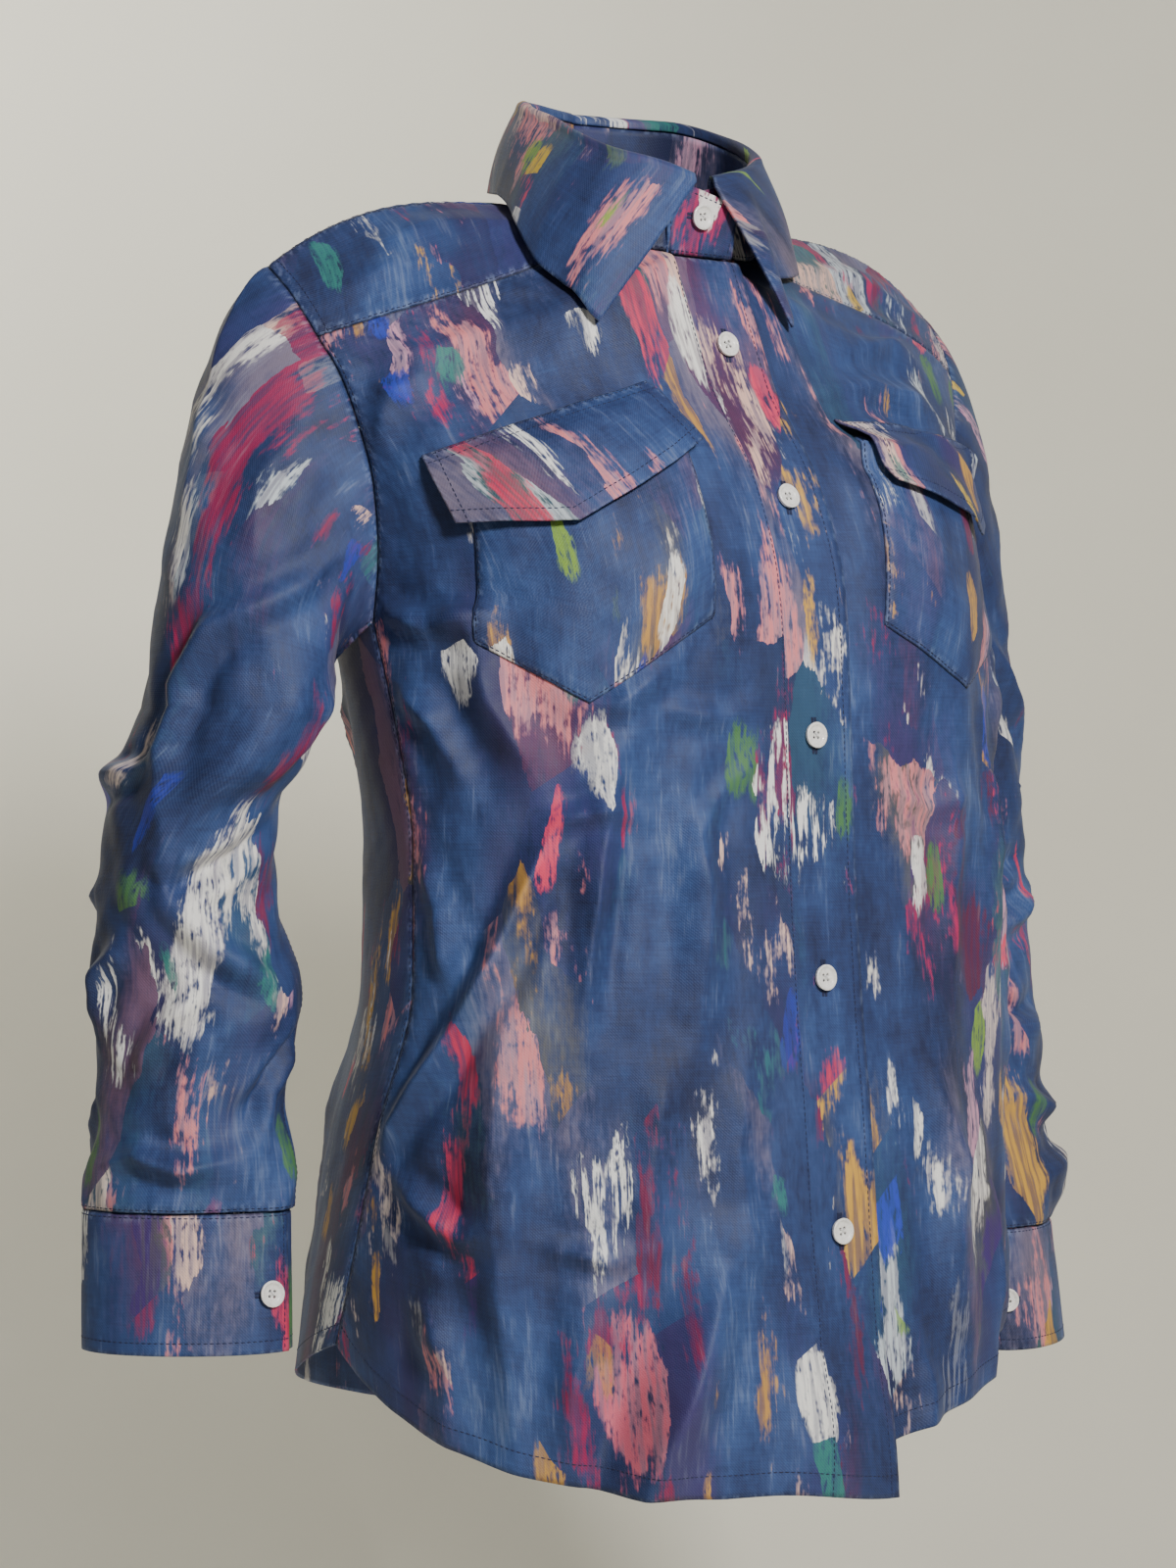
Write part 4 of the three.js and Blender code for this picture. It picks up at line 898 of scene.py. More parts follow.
def both_sides(first):
    """Places round the collar from the right lap to the left one: below 0 is the wearer's right"""
    half = np.linspace(first, 6, int((6 - first) * 22 // FINE) + 1)
    return np.concatenate([half - 6, 6 - half[::-1][1:]])


def unwrap(spot):
    return np.where(spot <= 0, -1, 1), 6 - np.abs(spot)


def stand_place(spot, t):
    side, place = unwrap(spot)
    return mix(foot_at(side, place), fold_at(side, place, -STAND_DROP), t[..., None])


def leaf_place(spot, k):
    side, place = unwrap(spot)
    return leaf_at(side, place, k)


ROUNDED = 0.16


def stand_outline(spot, t):
    """The stand's ends are rounded off at the top"""
    place = unwrap(spot)[1]
    cut_off = 1 - 0.3 * np.clip(1 - place / ROUNDED, 0, 1) ** 2
    return stand_place(spot, t * cut_off)


stand_sheet = lay(np.linspace(0, 1, 14 // FINE + 1), both_sides(0), stand_outline, turned=True,
                  sewn=("first_row",), free=("last_row", "first_column", "last_column"),
                  shift=(3900, 0), seed=7)
leaf_rows = np.concatenate([np.linspace(0, 5, 14 // FINE + 1), np.linspace(5, 10, 30 // FINE + 1)[1:]])
leaf_sheet = lay(leaf_rows, both_sides(0.7), leaf_place,
                 fine=lambda p, c, r: 0.35 * rumple(p[..., 0] + p[..., 1], p[..., 2], 51, 60, 25),
                 free=("last_row", "first_column", "last_column"), shift=(3900, 300), seed=8)
sheets["collar_stand"] = [stand_sheet]
settle([stand_sheet])
settle([leaf_sheet])
cut("collar_stand", [stand_sheet], 1.7)
cut("collar", [leaf_sheet], 1.7)

# %% [markdown]
# A cuff goes once round the wrist and laps over itself at its button.

# %% Cuffs
CUFF_HEIGHT = 67
CUFF_LEAN = {"right": (4, -8), "left": (5, -6)}
CUFF_BUTTONS = {"right": 0.105, "left": 0.045}
CUFF_TURNS = 24 / 22


def cuff_at(hand, s, t):
    side = HANDS[hand]
    turns = s * CUFF_TURNS
    w = CUFF_BUTTONS[hand] - 0.05 + turns
    p = ring_at(hand, w, LAST_RING + 0 * w)
    rings = SLEEVE_RINGS[hand]
    middle = np.array([side * rings["x"][-1], rings["y"][-1], rings["z"][-1]])
    inwards = unit(middle - p)
    p = p + inwards * (0.6 + 2.9 * smoothstep(turns, 0.78, 0.98))[..., None]
    lean_x, lean_y = CUFF_LEAN[hand]
    return p + np.stack([side * lean_x * t, lean_y * t, -0.3 - CUFF_HEIGHT * t], -1)


for hand, side in HANDS.items():
    sheet = lay(np.linspace(0, 1, 30 // FINE + 1), np.linspace(0, 1, 132 // FINE + 1),
                lambda s, t, h=hand: cuff_at(h, s, t),
                fine=lambda p, s, t: 0.5 * rumple(s * 290, t * 67, 61, 60, 26), turned=side > 0,
                sewn=("first_row",), free=("last_row", "first_column", "last_column"),
                shift=(4600 if side < 0 else 5000, 0), seed=9)
    settle([sheet])
    sheets[f"cuff_{hand}"] = [sheet]
    cut(f"cuff_{hand}", [sheet], 1.7)

# %% [markdown]
# Pockets and flaps lie on the fronts. They follow every fold below them and stand off by their own thickness.
# A flap is sewn down along its top only, so its point hangs a little clear and throws a shadow.

# %% Pockets and flaps
FLAPS = {
    "right": {"start": 41, "top": -101, "length": 136, "tilt": 17, "slant": 0, "peak": 0.62},
    "left": {"start": 40, "top": -113, "length": 126, "tilt": 3, "slant": 13, "peak": 0.68},
}
POCKETS = {
    "right": {"start": 35, "slant": 8, "width": 117, "inner": -219, "outer": -232, "point": 35, "peak": 0.56},
    "left": {"start": 44, "slant": -14, "width": 117, "inner": -220, "outer": -226, "point": 28, "peak": 0.5},
}
FORWARD = np.array([0, -1, 0.3])


def row_at(along, z):
    low, high = np.zeros(np.shape(z)), np.full(np.shape(z), float(SHOULDER))
    for _ in range(26):
        middle = (low + high) / 2
        length = section(FRONT, 0 * middle, middle)[1]
        here = section(FRONT, np.minimum(along / length, 1), middle)[0][..., 2]
        low, high = np.where(here < z, middle, low), np.where(here < z, high, middle)
    return (low + high) / 2


def on_front(hand, along, z, out):
    side = HANDS[hand]
    row = row_at(along, z)
    u = along / section(FRONT, 0 * row, row)[1]
    lift = lambda p: body_rise(p) + front_fine(hand, along, p[..., 2])
    return moved_out(lambda a, b: front_at(side, a, b), u, row, out, FORWARD, lift)


def pointed(s, peak):
    return np.where(s < peak, s / peak, (1 - s) / (1 - peak))


def flap_place(flap, s, down):
    angle = math.radians(flap["tilt"])
    along = (flap["start"] + s * flap["length"] * math.cos(angle) - down * math.sin(angle)
             + flap["slant"] * down * (1 - s) / 36)
    return along, flap["top"] - s * flap["length"] * math.sin(angle) - down * math.cos(angle)


def edged(count, peak, step):
    """Shares from 0 to 1 with one at the peak and close ones at both ends, for a crisp edge"""
    half = count // 2
    shares = np.concatenate([np.linspace(0, peak, half + 1), np.linspace(peak, 1, half + 1)[1:]])
    return np.unique(np.concatenate([shares, [step, 2 * step, 1 - step, 1 - 2 * step]]))


for hand, side in HANDS.items():
    flap, pocket = FLAPS[hand], POCKETS[hand]

    def pocket_at(s, t, hand=hand, flap=flap, pocket=pocket):
        upper = flap_place(flap, s, 11)[1]
        lower = mix(pocket["inner"], pocket["outer"], s) - pocket["point"] * pointed(s, pocket["peak"])
        edge = np.minimum(np.minimum(s, 1 - s) * pocket["width"], (1 - t) * 100)
        swell = np.sin(math.pi * s) * np.sin(math.pi * np.clip(t, 0, 1))
        out = 1.5 + 1.0 * smoothstep(edge, 0, 5) + 1.6 * swell
        along = pocket["start"] + pocket["slant"] * t + pocket["width"] * s
        return on_front(hand, along, mix(upper, lower, t), out)

    def flap_at(s, t, hand=hand, flap=flap):
        depth = mix(36, 54, pointed(s, flap["peak"]))
        along, z = flap_place(flap, s, depth * t)
        gap = mix(0.7, 1.4 + 3.2, smoothstep(t, 0, 0.3)) + 3 * t
        return on_front(hand, along, z, gap + 1.5)

    pocket_sheet = lay(edged(44 // FINE, 0.5, 0.01), edged(48 // FINE, pocket["peak"], 0.009), pocket_at,
                       turned=side > 0, sewn=("first_column", "last_column", "last_row"), mirror=side,
                       shift=(5500 if side < 0 else 5900, 0), seed=10)
    flap_sheet = lay(edged(24 // FINE, 0.5, 0.02), edged(54 // FINE, flap["peak"], 0.008), flap_at,
                     fine=lambda p, s, t: 0.4 * rumple(s * 130, t * 50, 71, 50, 20), turned=side > 0,
                     sewn=("first_row",), free=("first_column", "last_column", "last_row"), mirror=side,
                     shift=(6200 if side < 0 else 6500, 0), seed=11)
    for name, sheet in ((f"pocket_{hand}", pocket_sheet), (f"flap_{hand}", flap_sheet)):
        settle([sheet])
        sheets[name] = [sheet]
        cut(name, [sheet], 1.1)

# %% [markdown]
# ## Sewing
# A line of stitches is found on a sheet by its distance from an edge. All the stitches of a piece are then
# one row of small spindles, made straight with an array, and each is moved to its own place on the seam.

# %% Stitches
def on_sheet(sheet, i, j):
    """Cloth points and facings at fractional rows i and columns j"""
    rows, columns = sheet["cloth"].shape[:2]
    i, j = np.clip(i, 0, rows - 1.001), np.clip(j, 0, columns - 1.001)
    a, b = np.floor(i).astype(int), np.floor(j).astype(int)
    f, g = (i - a)[..., None], (j - b)[..., None]
    both = []
    for key in ("cloth", "facing"):
        p = sheet[key]
        both.append(mix(mix(p[a, b], p[a, b + 1], g), mix(p[a + 1, b], p[a + 1, b + 1], g), f))
    return both


def beside(sheet, edge, distance, start=0.0, end=1.0):
    """A line on a sheet that keeps its distance from one edge, from start to end as shares of that edge"""
    gap = sheet["gap"][edge]
    if "column" in edge:
        gap = gap.T
    steps = np.arange(gap.shape[0])
    picked = np.arange(gap.shape[1])
    if edge.startswith("last"):
        inner = np.array([np.interp(distance, gap[::-1, k], steps[::-1]) for k in picked])
    else:
        inner = np.array([np.interp(distance, gap[:, k], steps) for k in picked])
    keep = (picked >= start * picked[-1]) & (picked <= end * picked[-1])
    i, j = (inner[keep], picked[keep].astype(float))
    return on_sheet(sheet, j, i) if "column" in edge else on_sheet(sheet, i, j)


def frames_along(line, pitch):
    """Places, directions and facings at even steps along a line"""
    points, facing = line
    length = run(points, 0)
    at = np.arange(pitch / 2, length[-1], pitch)
    spot = np.stack([np.interp(at, length, points[:, k]) for k in range(3)], -1)
    ahead = np.stack([np.interp(at + 0.5, length, points[:, k]) for k in range(3)], -1)
    behind = np.stack([np.interp(at - 0.5, length, points[:, k]) for k in range(3)], -1)
    up = np.stack([np.interp(at, length, facing[:, k]) for k in range(3)], -1)
    return spot, unit(ahead - behind), up


def sew(name, frames, long=2.5, wide=0.72, high=0.5):
    """One mesh of stitches, each long, wide and high in millimetres, at the given places"""
    spot, way, up = [np.concatenate([f[k] for f in frames]) for k in range(3)]
    clear_selection()
    bpy.ops.mesh.primitive_ico_sphere_add(subdivisions=1, radius=1)
    thing = bpy.context.object
    thing.name = thing.data.name = name
    corners = len(thing.data.vertices)
    apply_modifier(thing, "ARRAY", count=len(spot), use_relative_offset=False, use_constant_offset=True,
                   constant_offset_displace=(4, 0, 0))
    shape = corners_of(thing).reshape(len(spot), corners, 3)
    shape[..., 0] -= 4 * np.arange(len(spot))[:, None]
    up = unit(up - way * (up * way).sum(-1, keepdims=True))
    side = np.cross(up, way)
    placed = (spot[:, None] + shape[..., :1] * (long / 2) * way[:, None]
              + shape[..., 1:2] * (wide / 2) * side[:, None] + shape[..., 2:] * (high / 2) * up[:, None])
    thing.data.vertices.foreach_set("co", (placed * MM).ravel())
    choose(thing)
    bpy.ops.object.shade_smooth()
    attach(thing, "root")
    print(f"{name}: {len(spot)} stitches")
    return thing


PITCH = 3.0
# Each line of stitches: which sheet of its piece, which edge, how far from it, and from where to where
STITCHED_PAIRS = {
    "front": [(0, "first_column", 1.0, 0, 0.93), (0, "first_row", 11), (1, "first_row", 11),
              (1, "first_column", 5), (0, "last_column", 2.2)],
    "front_yoke": [(0, "first_row", 1.6), (0, "last_row", 1.6), (0, "last_column", 6)],
    "sleeve": [(0, "first_column", 2.5), (0, "last_row", 1.6)],
    "cuff": [(0, "first_row", 2), (0, "last_row", 6), (0, "first_column", 3), (0, "last_column", 3)],
    "pocket": [(0, "first_column", 2), (0, "last_column", 2), (0, "last_row", 2)],
    "flap": [(0, "first_row", 1.6), (0, "first_row", 7), (0, "first_column", 7), (0, "last_column", 7),
             (0, "last_row", 7)],
}
STITCHED = {
    **{f"{kind}_{hand}": group for hand in HANDS for kind, group in STITCHED_PAIRS.items()},
    "back": [(0, "first_row", 11), (0, "first_column", 2), (0, "last_column", 2)],
    "back_yoke": [(0, "first_row", 1.6), (0, "first_column", 6), (0, "last_column", 6),
                  (1, "last_row", 1.6), (1, "last_column", 6), (2, "last_row", 1.6), (2, "last_column", 6)],
    "collar_stand": [(0, "first_row", 2), (0, "last_row", 3, 0, 0.06), (0, "first_column", 3),
                     (0, "last_column", 3)],
}
threads = {
    name: sew(f"thread_{name}", [
        frames_along(beside(sheets[name][which], *line), PITCH) for which, *line in group
    ])
    for name, group in STITCHED.items()
}

# %% [markdown]
# ## Buttons
# One button is modelled and copied. It has a raised rim, a dished middle, four holes and the thread that
# crosses them, and it stands a little off the cloth. Each copy takes its place and its slant from its
# solid, and is then set down on the finer cloth.

# %% One button
def select_faces(thing, wanted):
    """Selects, in edit mode, only the faces whose middle and normal are wanted"""
    bpy.ops.object.mode_set(mode="OBJECT")
    for part in (thing.data.vertices, thing.data.edges, thing.data.polygons):
        part.foreach_set("select", np.zeros(len(part), bool))
    for face in thing.data.polygons:
        face.select = wanted(face.center, face.normal)
    bpy.ops.object.mode_set(mode="EDIT")


def model_button():
    clear_selection()
    bpy.ops.mesh.primitive_cylinder_add(vertices=48, radius=6.0 * MM, depth=1.3 * MM,
                                        location=(0, 0, 0.65 * MM))
    body = bpy.context.object
    bpy.ops.object.transform_apply(location=True, rotation=True, scale=True)
    bpy.ops.object.mode_set(mode="EDIT")
    bpy.ops.mesh.select_mode(type="FACE")
    for thickness, rise in ((-0.45, 0.55), (0.5, 0.35), (0.7, 0.0), (0.6, -0.75), (0.9, -0.3)):
        select_faces(body, lambda centre, normal: normal.z > 0.9 and centre.xy.length < 0.1 * MM)
        if thickness > 0:
            bpy.ops.mesh.inset(thickness=thickness * MM, depth=rise * MM)
        else:
            bpy.ops.mesh.extrude_region_move(TRANSFORM_OT_translate={"value": (0, 0, rise * MM)})
            bpy.ops.transform.resize(value=(6.5 / 6.0, 6.5 / 6.0, 1))
    bpy.ops.object.mode_set(mode="OBJECT")
    holes = []
    for x in (-1, 1):
        for y in (-1, 1):
            clear_selection()
            bpy.ops.mesh.primitive_cylinder_add(vertices=16, radius=0.74 * MM, depth=8 * MM,
                                                location=(1.25 * x * MM, 1.25 * y * MM, 0))
            holes.append(bpy.context.object)
    choose(*holes)
    bpy.ops.object.join()
    drill = bpy.context.object
    apply_modifier(body, "BOOLEAN", object=drill, operation="DIFFERENCE", solver="EXACT")
    choose(drill)
    bpy.ops.object.delete()
    apply_modifier(body, "BEVEL", width=0.16 * MM, segments=2, limit_method="ANGLE",
                   angle_limit=math.radians(35))
    choose(body)
    bpy.ops.object.shade_smooth_by_angle(angle=math.radians(40))
    return body


def model_thread():
    """Two strands across each diagonal pair of holes, and the shank below"""
    strands = []
    for turn in (45, -45):
        for aside in (-0.17, 0.17):
            clear_selection()
            bpy.ops.mesh.primitive_cylinder_add(vertices=8, radius=0.13 * MM, depth=3.5 * MM)
            strand = bpy.context.object
            in_edit_mode(bpy.ops.mesh.subdivide, number_cuts=6)
            x, y, z = corners_of(strand).T
            bend = 0.5 * MM * (1 - np.clip(np.abs(z) / (1.75 * MM), 0, 1) ** 3) - 0.7 * MM
            c, s = math.cos(math.radians(turn)), math.sin(math.radians(turn))
            a, b = z, y + aside * MM
            bent = np.stack([a * c - b * s, a * s + b * c, x + bend + 1.75 * MM], -1)
            strand.data.vertices.foreach_set("co", bent.ravel())
            strands.append(strand)
    clear_selection()
    bpy.ops.mesh.primitive_cylinder_add(vertices=12, radius=1.3 * MM, depth=1.4 * MM,
                                        location=(0, 0, -0.2 * MM))
    shank = bpy.context.object
    bpy.ops.object.transform_apply(location=True, rotation=True, scale=True)
    apply_modifier(shank, "BEVEL", width=0.3 * MM, segments=2, limit_method="ANGLE")
    choose(*strands, shank)
    bpy.ops.object.join()
    thing = bpy.context.object
    bpy.ops.object.shade_smooth()
    return thing


pattern, pattern_thread = model_button(), model_thread()
print("button:", len(pattern.data.polygons), "faces")


# %% Buttons in their places
def seat_of(node):
    """The middle of a solid button's back and the way it faces"""
    thing = frame["nodes"][node]
    thing = bpy.data.objects[thing] if isinstance(thing, str) else thing
    points = np.array([thing.matrix_world @ v.co for v in thing.data.vertices])
    middle = points.mean(0)
    facing = np.linalg.svd(points - middle)[2][-1]
    facing *= -np.sign(facing[1])
    return middle + facing * ((points - middle) @ facing).min(), facing


def tree_of(name):
    mesh = pieces[name]["object"].data
    return BVHTree.FromPolygons([v.co for v in mesh.vertices], [p.vertices for p in mesh.polygons])


BUTTONS = {
    **{f"button_{i}": ("front_right", turn) for i, turn in zip(range(1, 6), (14, 3, -6, 2, 9))},
    "button_stand": ("collar_stand", 10),
    "button_cuff_right": ("cuff_right", -8),
    "button_cuff_left": ("cuff_left", 20),
}
trees = {}
for node, (carrier, turn) in BUTTONS.items():
    trees.setdefault(carrier, tree_of(carrier))
    seat, facing = seat_of(node)
    facing = Vector(facing)
    across = Vector((0, 0, 1)).cross(facing).normalized()
    upright = facing.cross(across)
    drop = 1
    for ring in (0, 0.4, 0.75, 1):
        for k in range(16):
            a = 2 * math.pi * k / 16
            aside = (across * math.cos(a) + upright * math.sin(a)) * 6 * MM * ring
            hit = trees[carrier].ray_cast(Vector(seat) + facing * 12 * MM + aside, -facing)
            if hit[0] is not None:
                drop = min(drop, hit[3])
    place = Vector(seat) + facing * (12 * MM - drop + 0.4 * MM)
    spin = Matrix.Rotation(math.radians(turn), 4, facing)
    stand = Matrix((across, upright, facing)).transposed().to_4x4()
    move = Matrix.Translation(place) @ spin @ stand
    for master, prefix in ((pattern, "shirt"), (pattern_thread, "thread")):
        choose(master)
        bpy.ops.object.duplicate()
        copy = bpy.context.object
        copy.name = copy.data.name = f"{prefix}_{node}"
        copy.data.transform(move)
        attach(copy, "root")
        if prefix == "shirt":
            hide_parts(node)
            pieces[node] = {"object": copy, "seat": place, "facing": facing,
                            "upright": upright, "across": across}
        else:
            threads[node] = copy
choose(pattern, pattern_thread)
bpy.ops.object.delete()

# %% [markdown]
# Each button passes through a slit edged with close stitches. The slits of the front run up and down, those
# of the stand and the cuffs run round.

# %% Buttonholes
frames = []
for node, (carrier, _) in BUTTONS.items():
    level = "cuff" in node or "stand" in node
    here = pieces[node]
    long_way, short_way = (here["across"], here["upright"]) if level else (here["upright"], here["across"])
    half = 9.0 if not level else 8.0
    for aside in (-0.9, 0.9):
        for step in np.arange(-half, half + 0.01, 0.55):
            start = here["seat"] + (long_way * step + short_way * aside) * MM + here["facing"] * 8 * MM
            hit = trees[carrier].ray_cast(start, -here["facing"])
            if hit[0] is not None:
                frames.append((np.array(hit[0]) / MM, np.array(short_way), np.array(hit[1])))
holes = [np.array([f[k] for f in frames]) for k in range(3)]
threads["buttonholes"] = sew("thread_buttonholes", [holes], long=2.0, wide=0.7, high=0.8)

# %% [markdown]
# ## Materials
# A material is easier to read as a formula than as a web of nodes. This small class stands for one output of
# a node and turns sums and products of them into Math nodes.

# %% Writing nodes as formulas
class Wire:
    """One output of a node"""
    def __init__(self, shop, socket):
        self.shop, self.socket = shop, socket

    def math(self, operation, *others):
        return self.shop.node("ShaderNodeMath", [self, *others], operation=operation)

    def __add__(self, other):
        return self.math("ADD", other)

    def __sub__(self, other):
        return self.math("SUBTRACT", other)

    def __rsub__(self, other):
        return self.shop.node("ShaderNodeMath", [other, self], operation="SUBTRACT")

    def __mul__(self, other):
        return self.math("MULTIPLY", other)

    def __truediv__(self, other):
        return self.math("DIVIDE", other)

    __radd__ = __add__
    __rmul__ = __mul__


class Shop:
    """The node tree of one material"""
    def __init__(self, name):
        self.material = bpy.data.materials.new(name)
        self.material.use_nodes = True
        self.tree = self.material.node_tree
        self.shader = self.tree.nodes["Principled BSDF"]

    def plug(self, socket, value):
        if isinstance(value, Wire):
            self.tree.links.new(value.socket, socket)
        elif socket.type == "RGBA":
            socket.default_value = (*value, 1) if len(value) == 3 else value
        else:
            socket.default_value = value

    def node(self, kind, inputs=(), output=0, **settings):
        made = self.tree.nodes.new(kind)
        for name, value in settings.items():
            setattr(made, name, value)
        pairs = inputs.items() if isinstance(inputs, dict) else enumerate(inputs)
        for key, value in pairs:
            self.plug(made.inputs[key], value)
        return Wire(self, made.outputs[output])

    def place(self):
        """The place on the object itself, as x, y and z"""
        return self.split(self.node("ShaderNodeTexCoord", output=3))

    def fine_noise(self, place, times, detail):
        return self.noise(self.join(*[axis * times for axis in place]), detail=detail)

    def uv(self, layer="cloth"):
        return self.node("ShaderNodeUVMap", uv_map=layer)

    def split(self, vector):
        made = self.tree.nodes.new("ShaderNodeSeparateXYZ")
        self.plug(made.inputs[0], vector)
        return [Wire(self, out) for out in made.outputs]

    def join(self, x, y, z=0.0):
        return self.node("ShaderNodeCombineXYZ", [x, y, z])

    def noise(self, vector, detail=3.0, roughness=0.55):
        return self.node("ShaderNodeTexNoise", {
            "Vector": vector, "Scale": 1.0, "Detail": detail, "Roughness": roughness,
        })

    def step(self, value, low, high):
        """0 below low and 1 above high, softly between; low may be the larger one"""
        return self.node("ShaderNodeMapRange", {
            "Value": value, "From Min": low, "From Max": high, "To Min": 0.0, "To Max": 1.0,
        }, interpolation_type="SMOOTHSTEP")

    def blend(self, factor, a, b):
        made = self.tree.nodes.new("ShaderNodeMix")
        made.data_type = "RGBA"
        for socket, value in ((made.inputs[0], factor), (made.inputs[6], a), (made.inputs[7], b)):
            self.plug(socket, value)
        return Wire(self, made.outputs[2])

    def ramp(self, value, stops, interpolation="LINEAR"):
        made = self.tree.nodes.new("ShaderNodeValToRGB")
        made.color_ramp.interpolation = interpolation
        elements = made.color_ramp.elements
        while len(elements) < len(stops):
            elements.new(0.5)
        for element, (position, colour) in zip(elements, stops):
            element.position, element.color = position, (*colour, 1)
        self.plug(made.inputs[0], value)
        return Wire(self, made.outputs[0])

    def surface(self, colour, roughness, height, distance, strength):
        """Plugs in the colour and the roughness, and a height whose bumps are distance deep"""
        bump = self.node("ShaderNodeBump", {"Height": height, "Distance": distance, "Strength": strength})
        for name, value in (("Base Color", colour), ("Roughness", roughness), ("Normal", bump)):
            self.plug(self.shader.inputs[name], value)


def srgb(red, green, blue):
    """A colour as picked on a screen, from 0 to 255, in the linear values that the renderer adds up"""
    return tuple(v / 255 / 12.92 if v < 10.4 else ((v / 255 + 0.055) / 1.055) ** 2.4
                 for v in (red, green, blue))


def evenly(colours):
    return [(k / len(colours), srgb(*c)) for k, c in enumerate(colours)]


# %% [markdown]
# The cloth is a light denim-look weave, printed all over. The print here is not the one in the picture: it
# is a plain painter's texture of upright dry-brush dabs in the same family of colours. Each layer of dabs
# gives every cell of a grid its own colour, size and chance of being there, and then frays the edges
# with long thin noise, as a half-dry brush does.

# %% Printed denim
MUTED = [(44, 26, 74), (96, 34, 72), (34, 76, 100), (124, 84, 104), (52, 44, 104), (134, 118, 132),
         (30, 44, 80), (84, 30, 66), (70, 112, 96), (46, 70, 120), (104, 96, 70), (60, 40, 96)]
CHALKY = [(236, 234, 226), (228, 184, 166), (216, 104, 124), (240, 238, 232), (224, 206, 196),
          (206, 150, 176), (236, 196, 178), (196, 206, 212), (232, 228, 220), (222, 128, 130)]
STRONG = [(150, 16, 74), (176, 20, 84), (92, 20, 58), (206, 44, 84), (38, 96, 108),
          (120, 22, 66), (210, 160, 54), (60, 34, 104), (192, 142, 60), (140, 18, 70)]
BRIGHT = [(214, 178, 40), (128, 164, 48), (30, 48, 160), (238, 236, 230), (44, 118, 110), (226, 56, 92),
          (200, 150, 60), (36, 60, 180), (70, 118, 60), (240, 238, 234)]


def patches(shop, x, y, wobble, wide, tall, shift):
    """Upright cells with frayed borders: two random numbers for each, and the distance from its middle"""
    cell = shop.tree.nodes.new("ShaderNodeTexVoronoi")
    cell.voronoi_dimensions = "2D"
    place = shop.join(x / wide + shift + wobble * 1.1, y / tall + shift * 0.37 + wobble * 0.3)
    shop.plug(cell.inputs["Vector"], place)
    shop.plug(cell.inputs["Scale"], 1.0)
    pick, chance, _ = shop.split(Wire(shop, cell.outputs["Color"]))
    return pick, chance, Wire(shop, cell.outputs["Distance"])


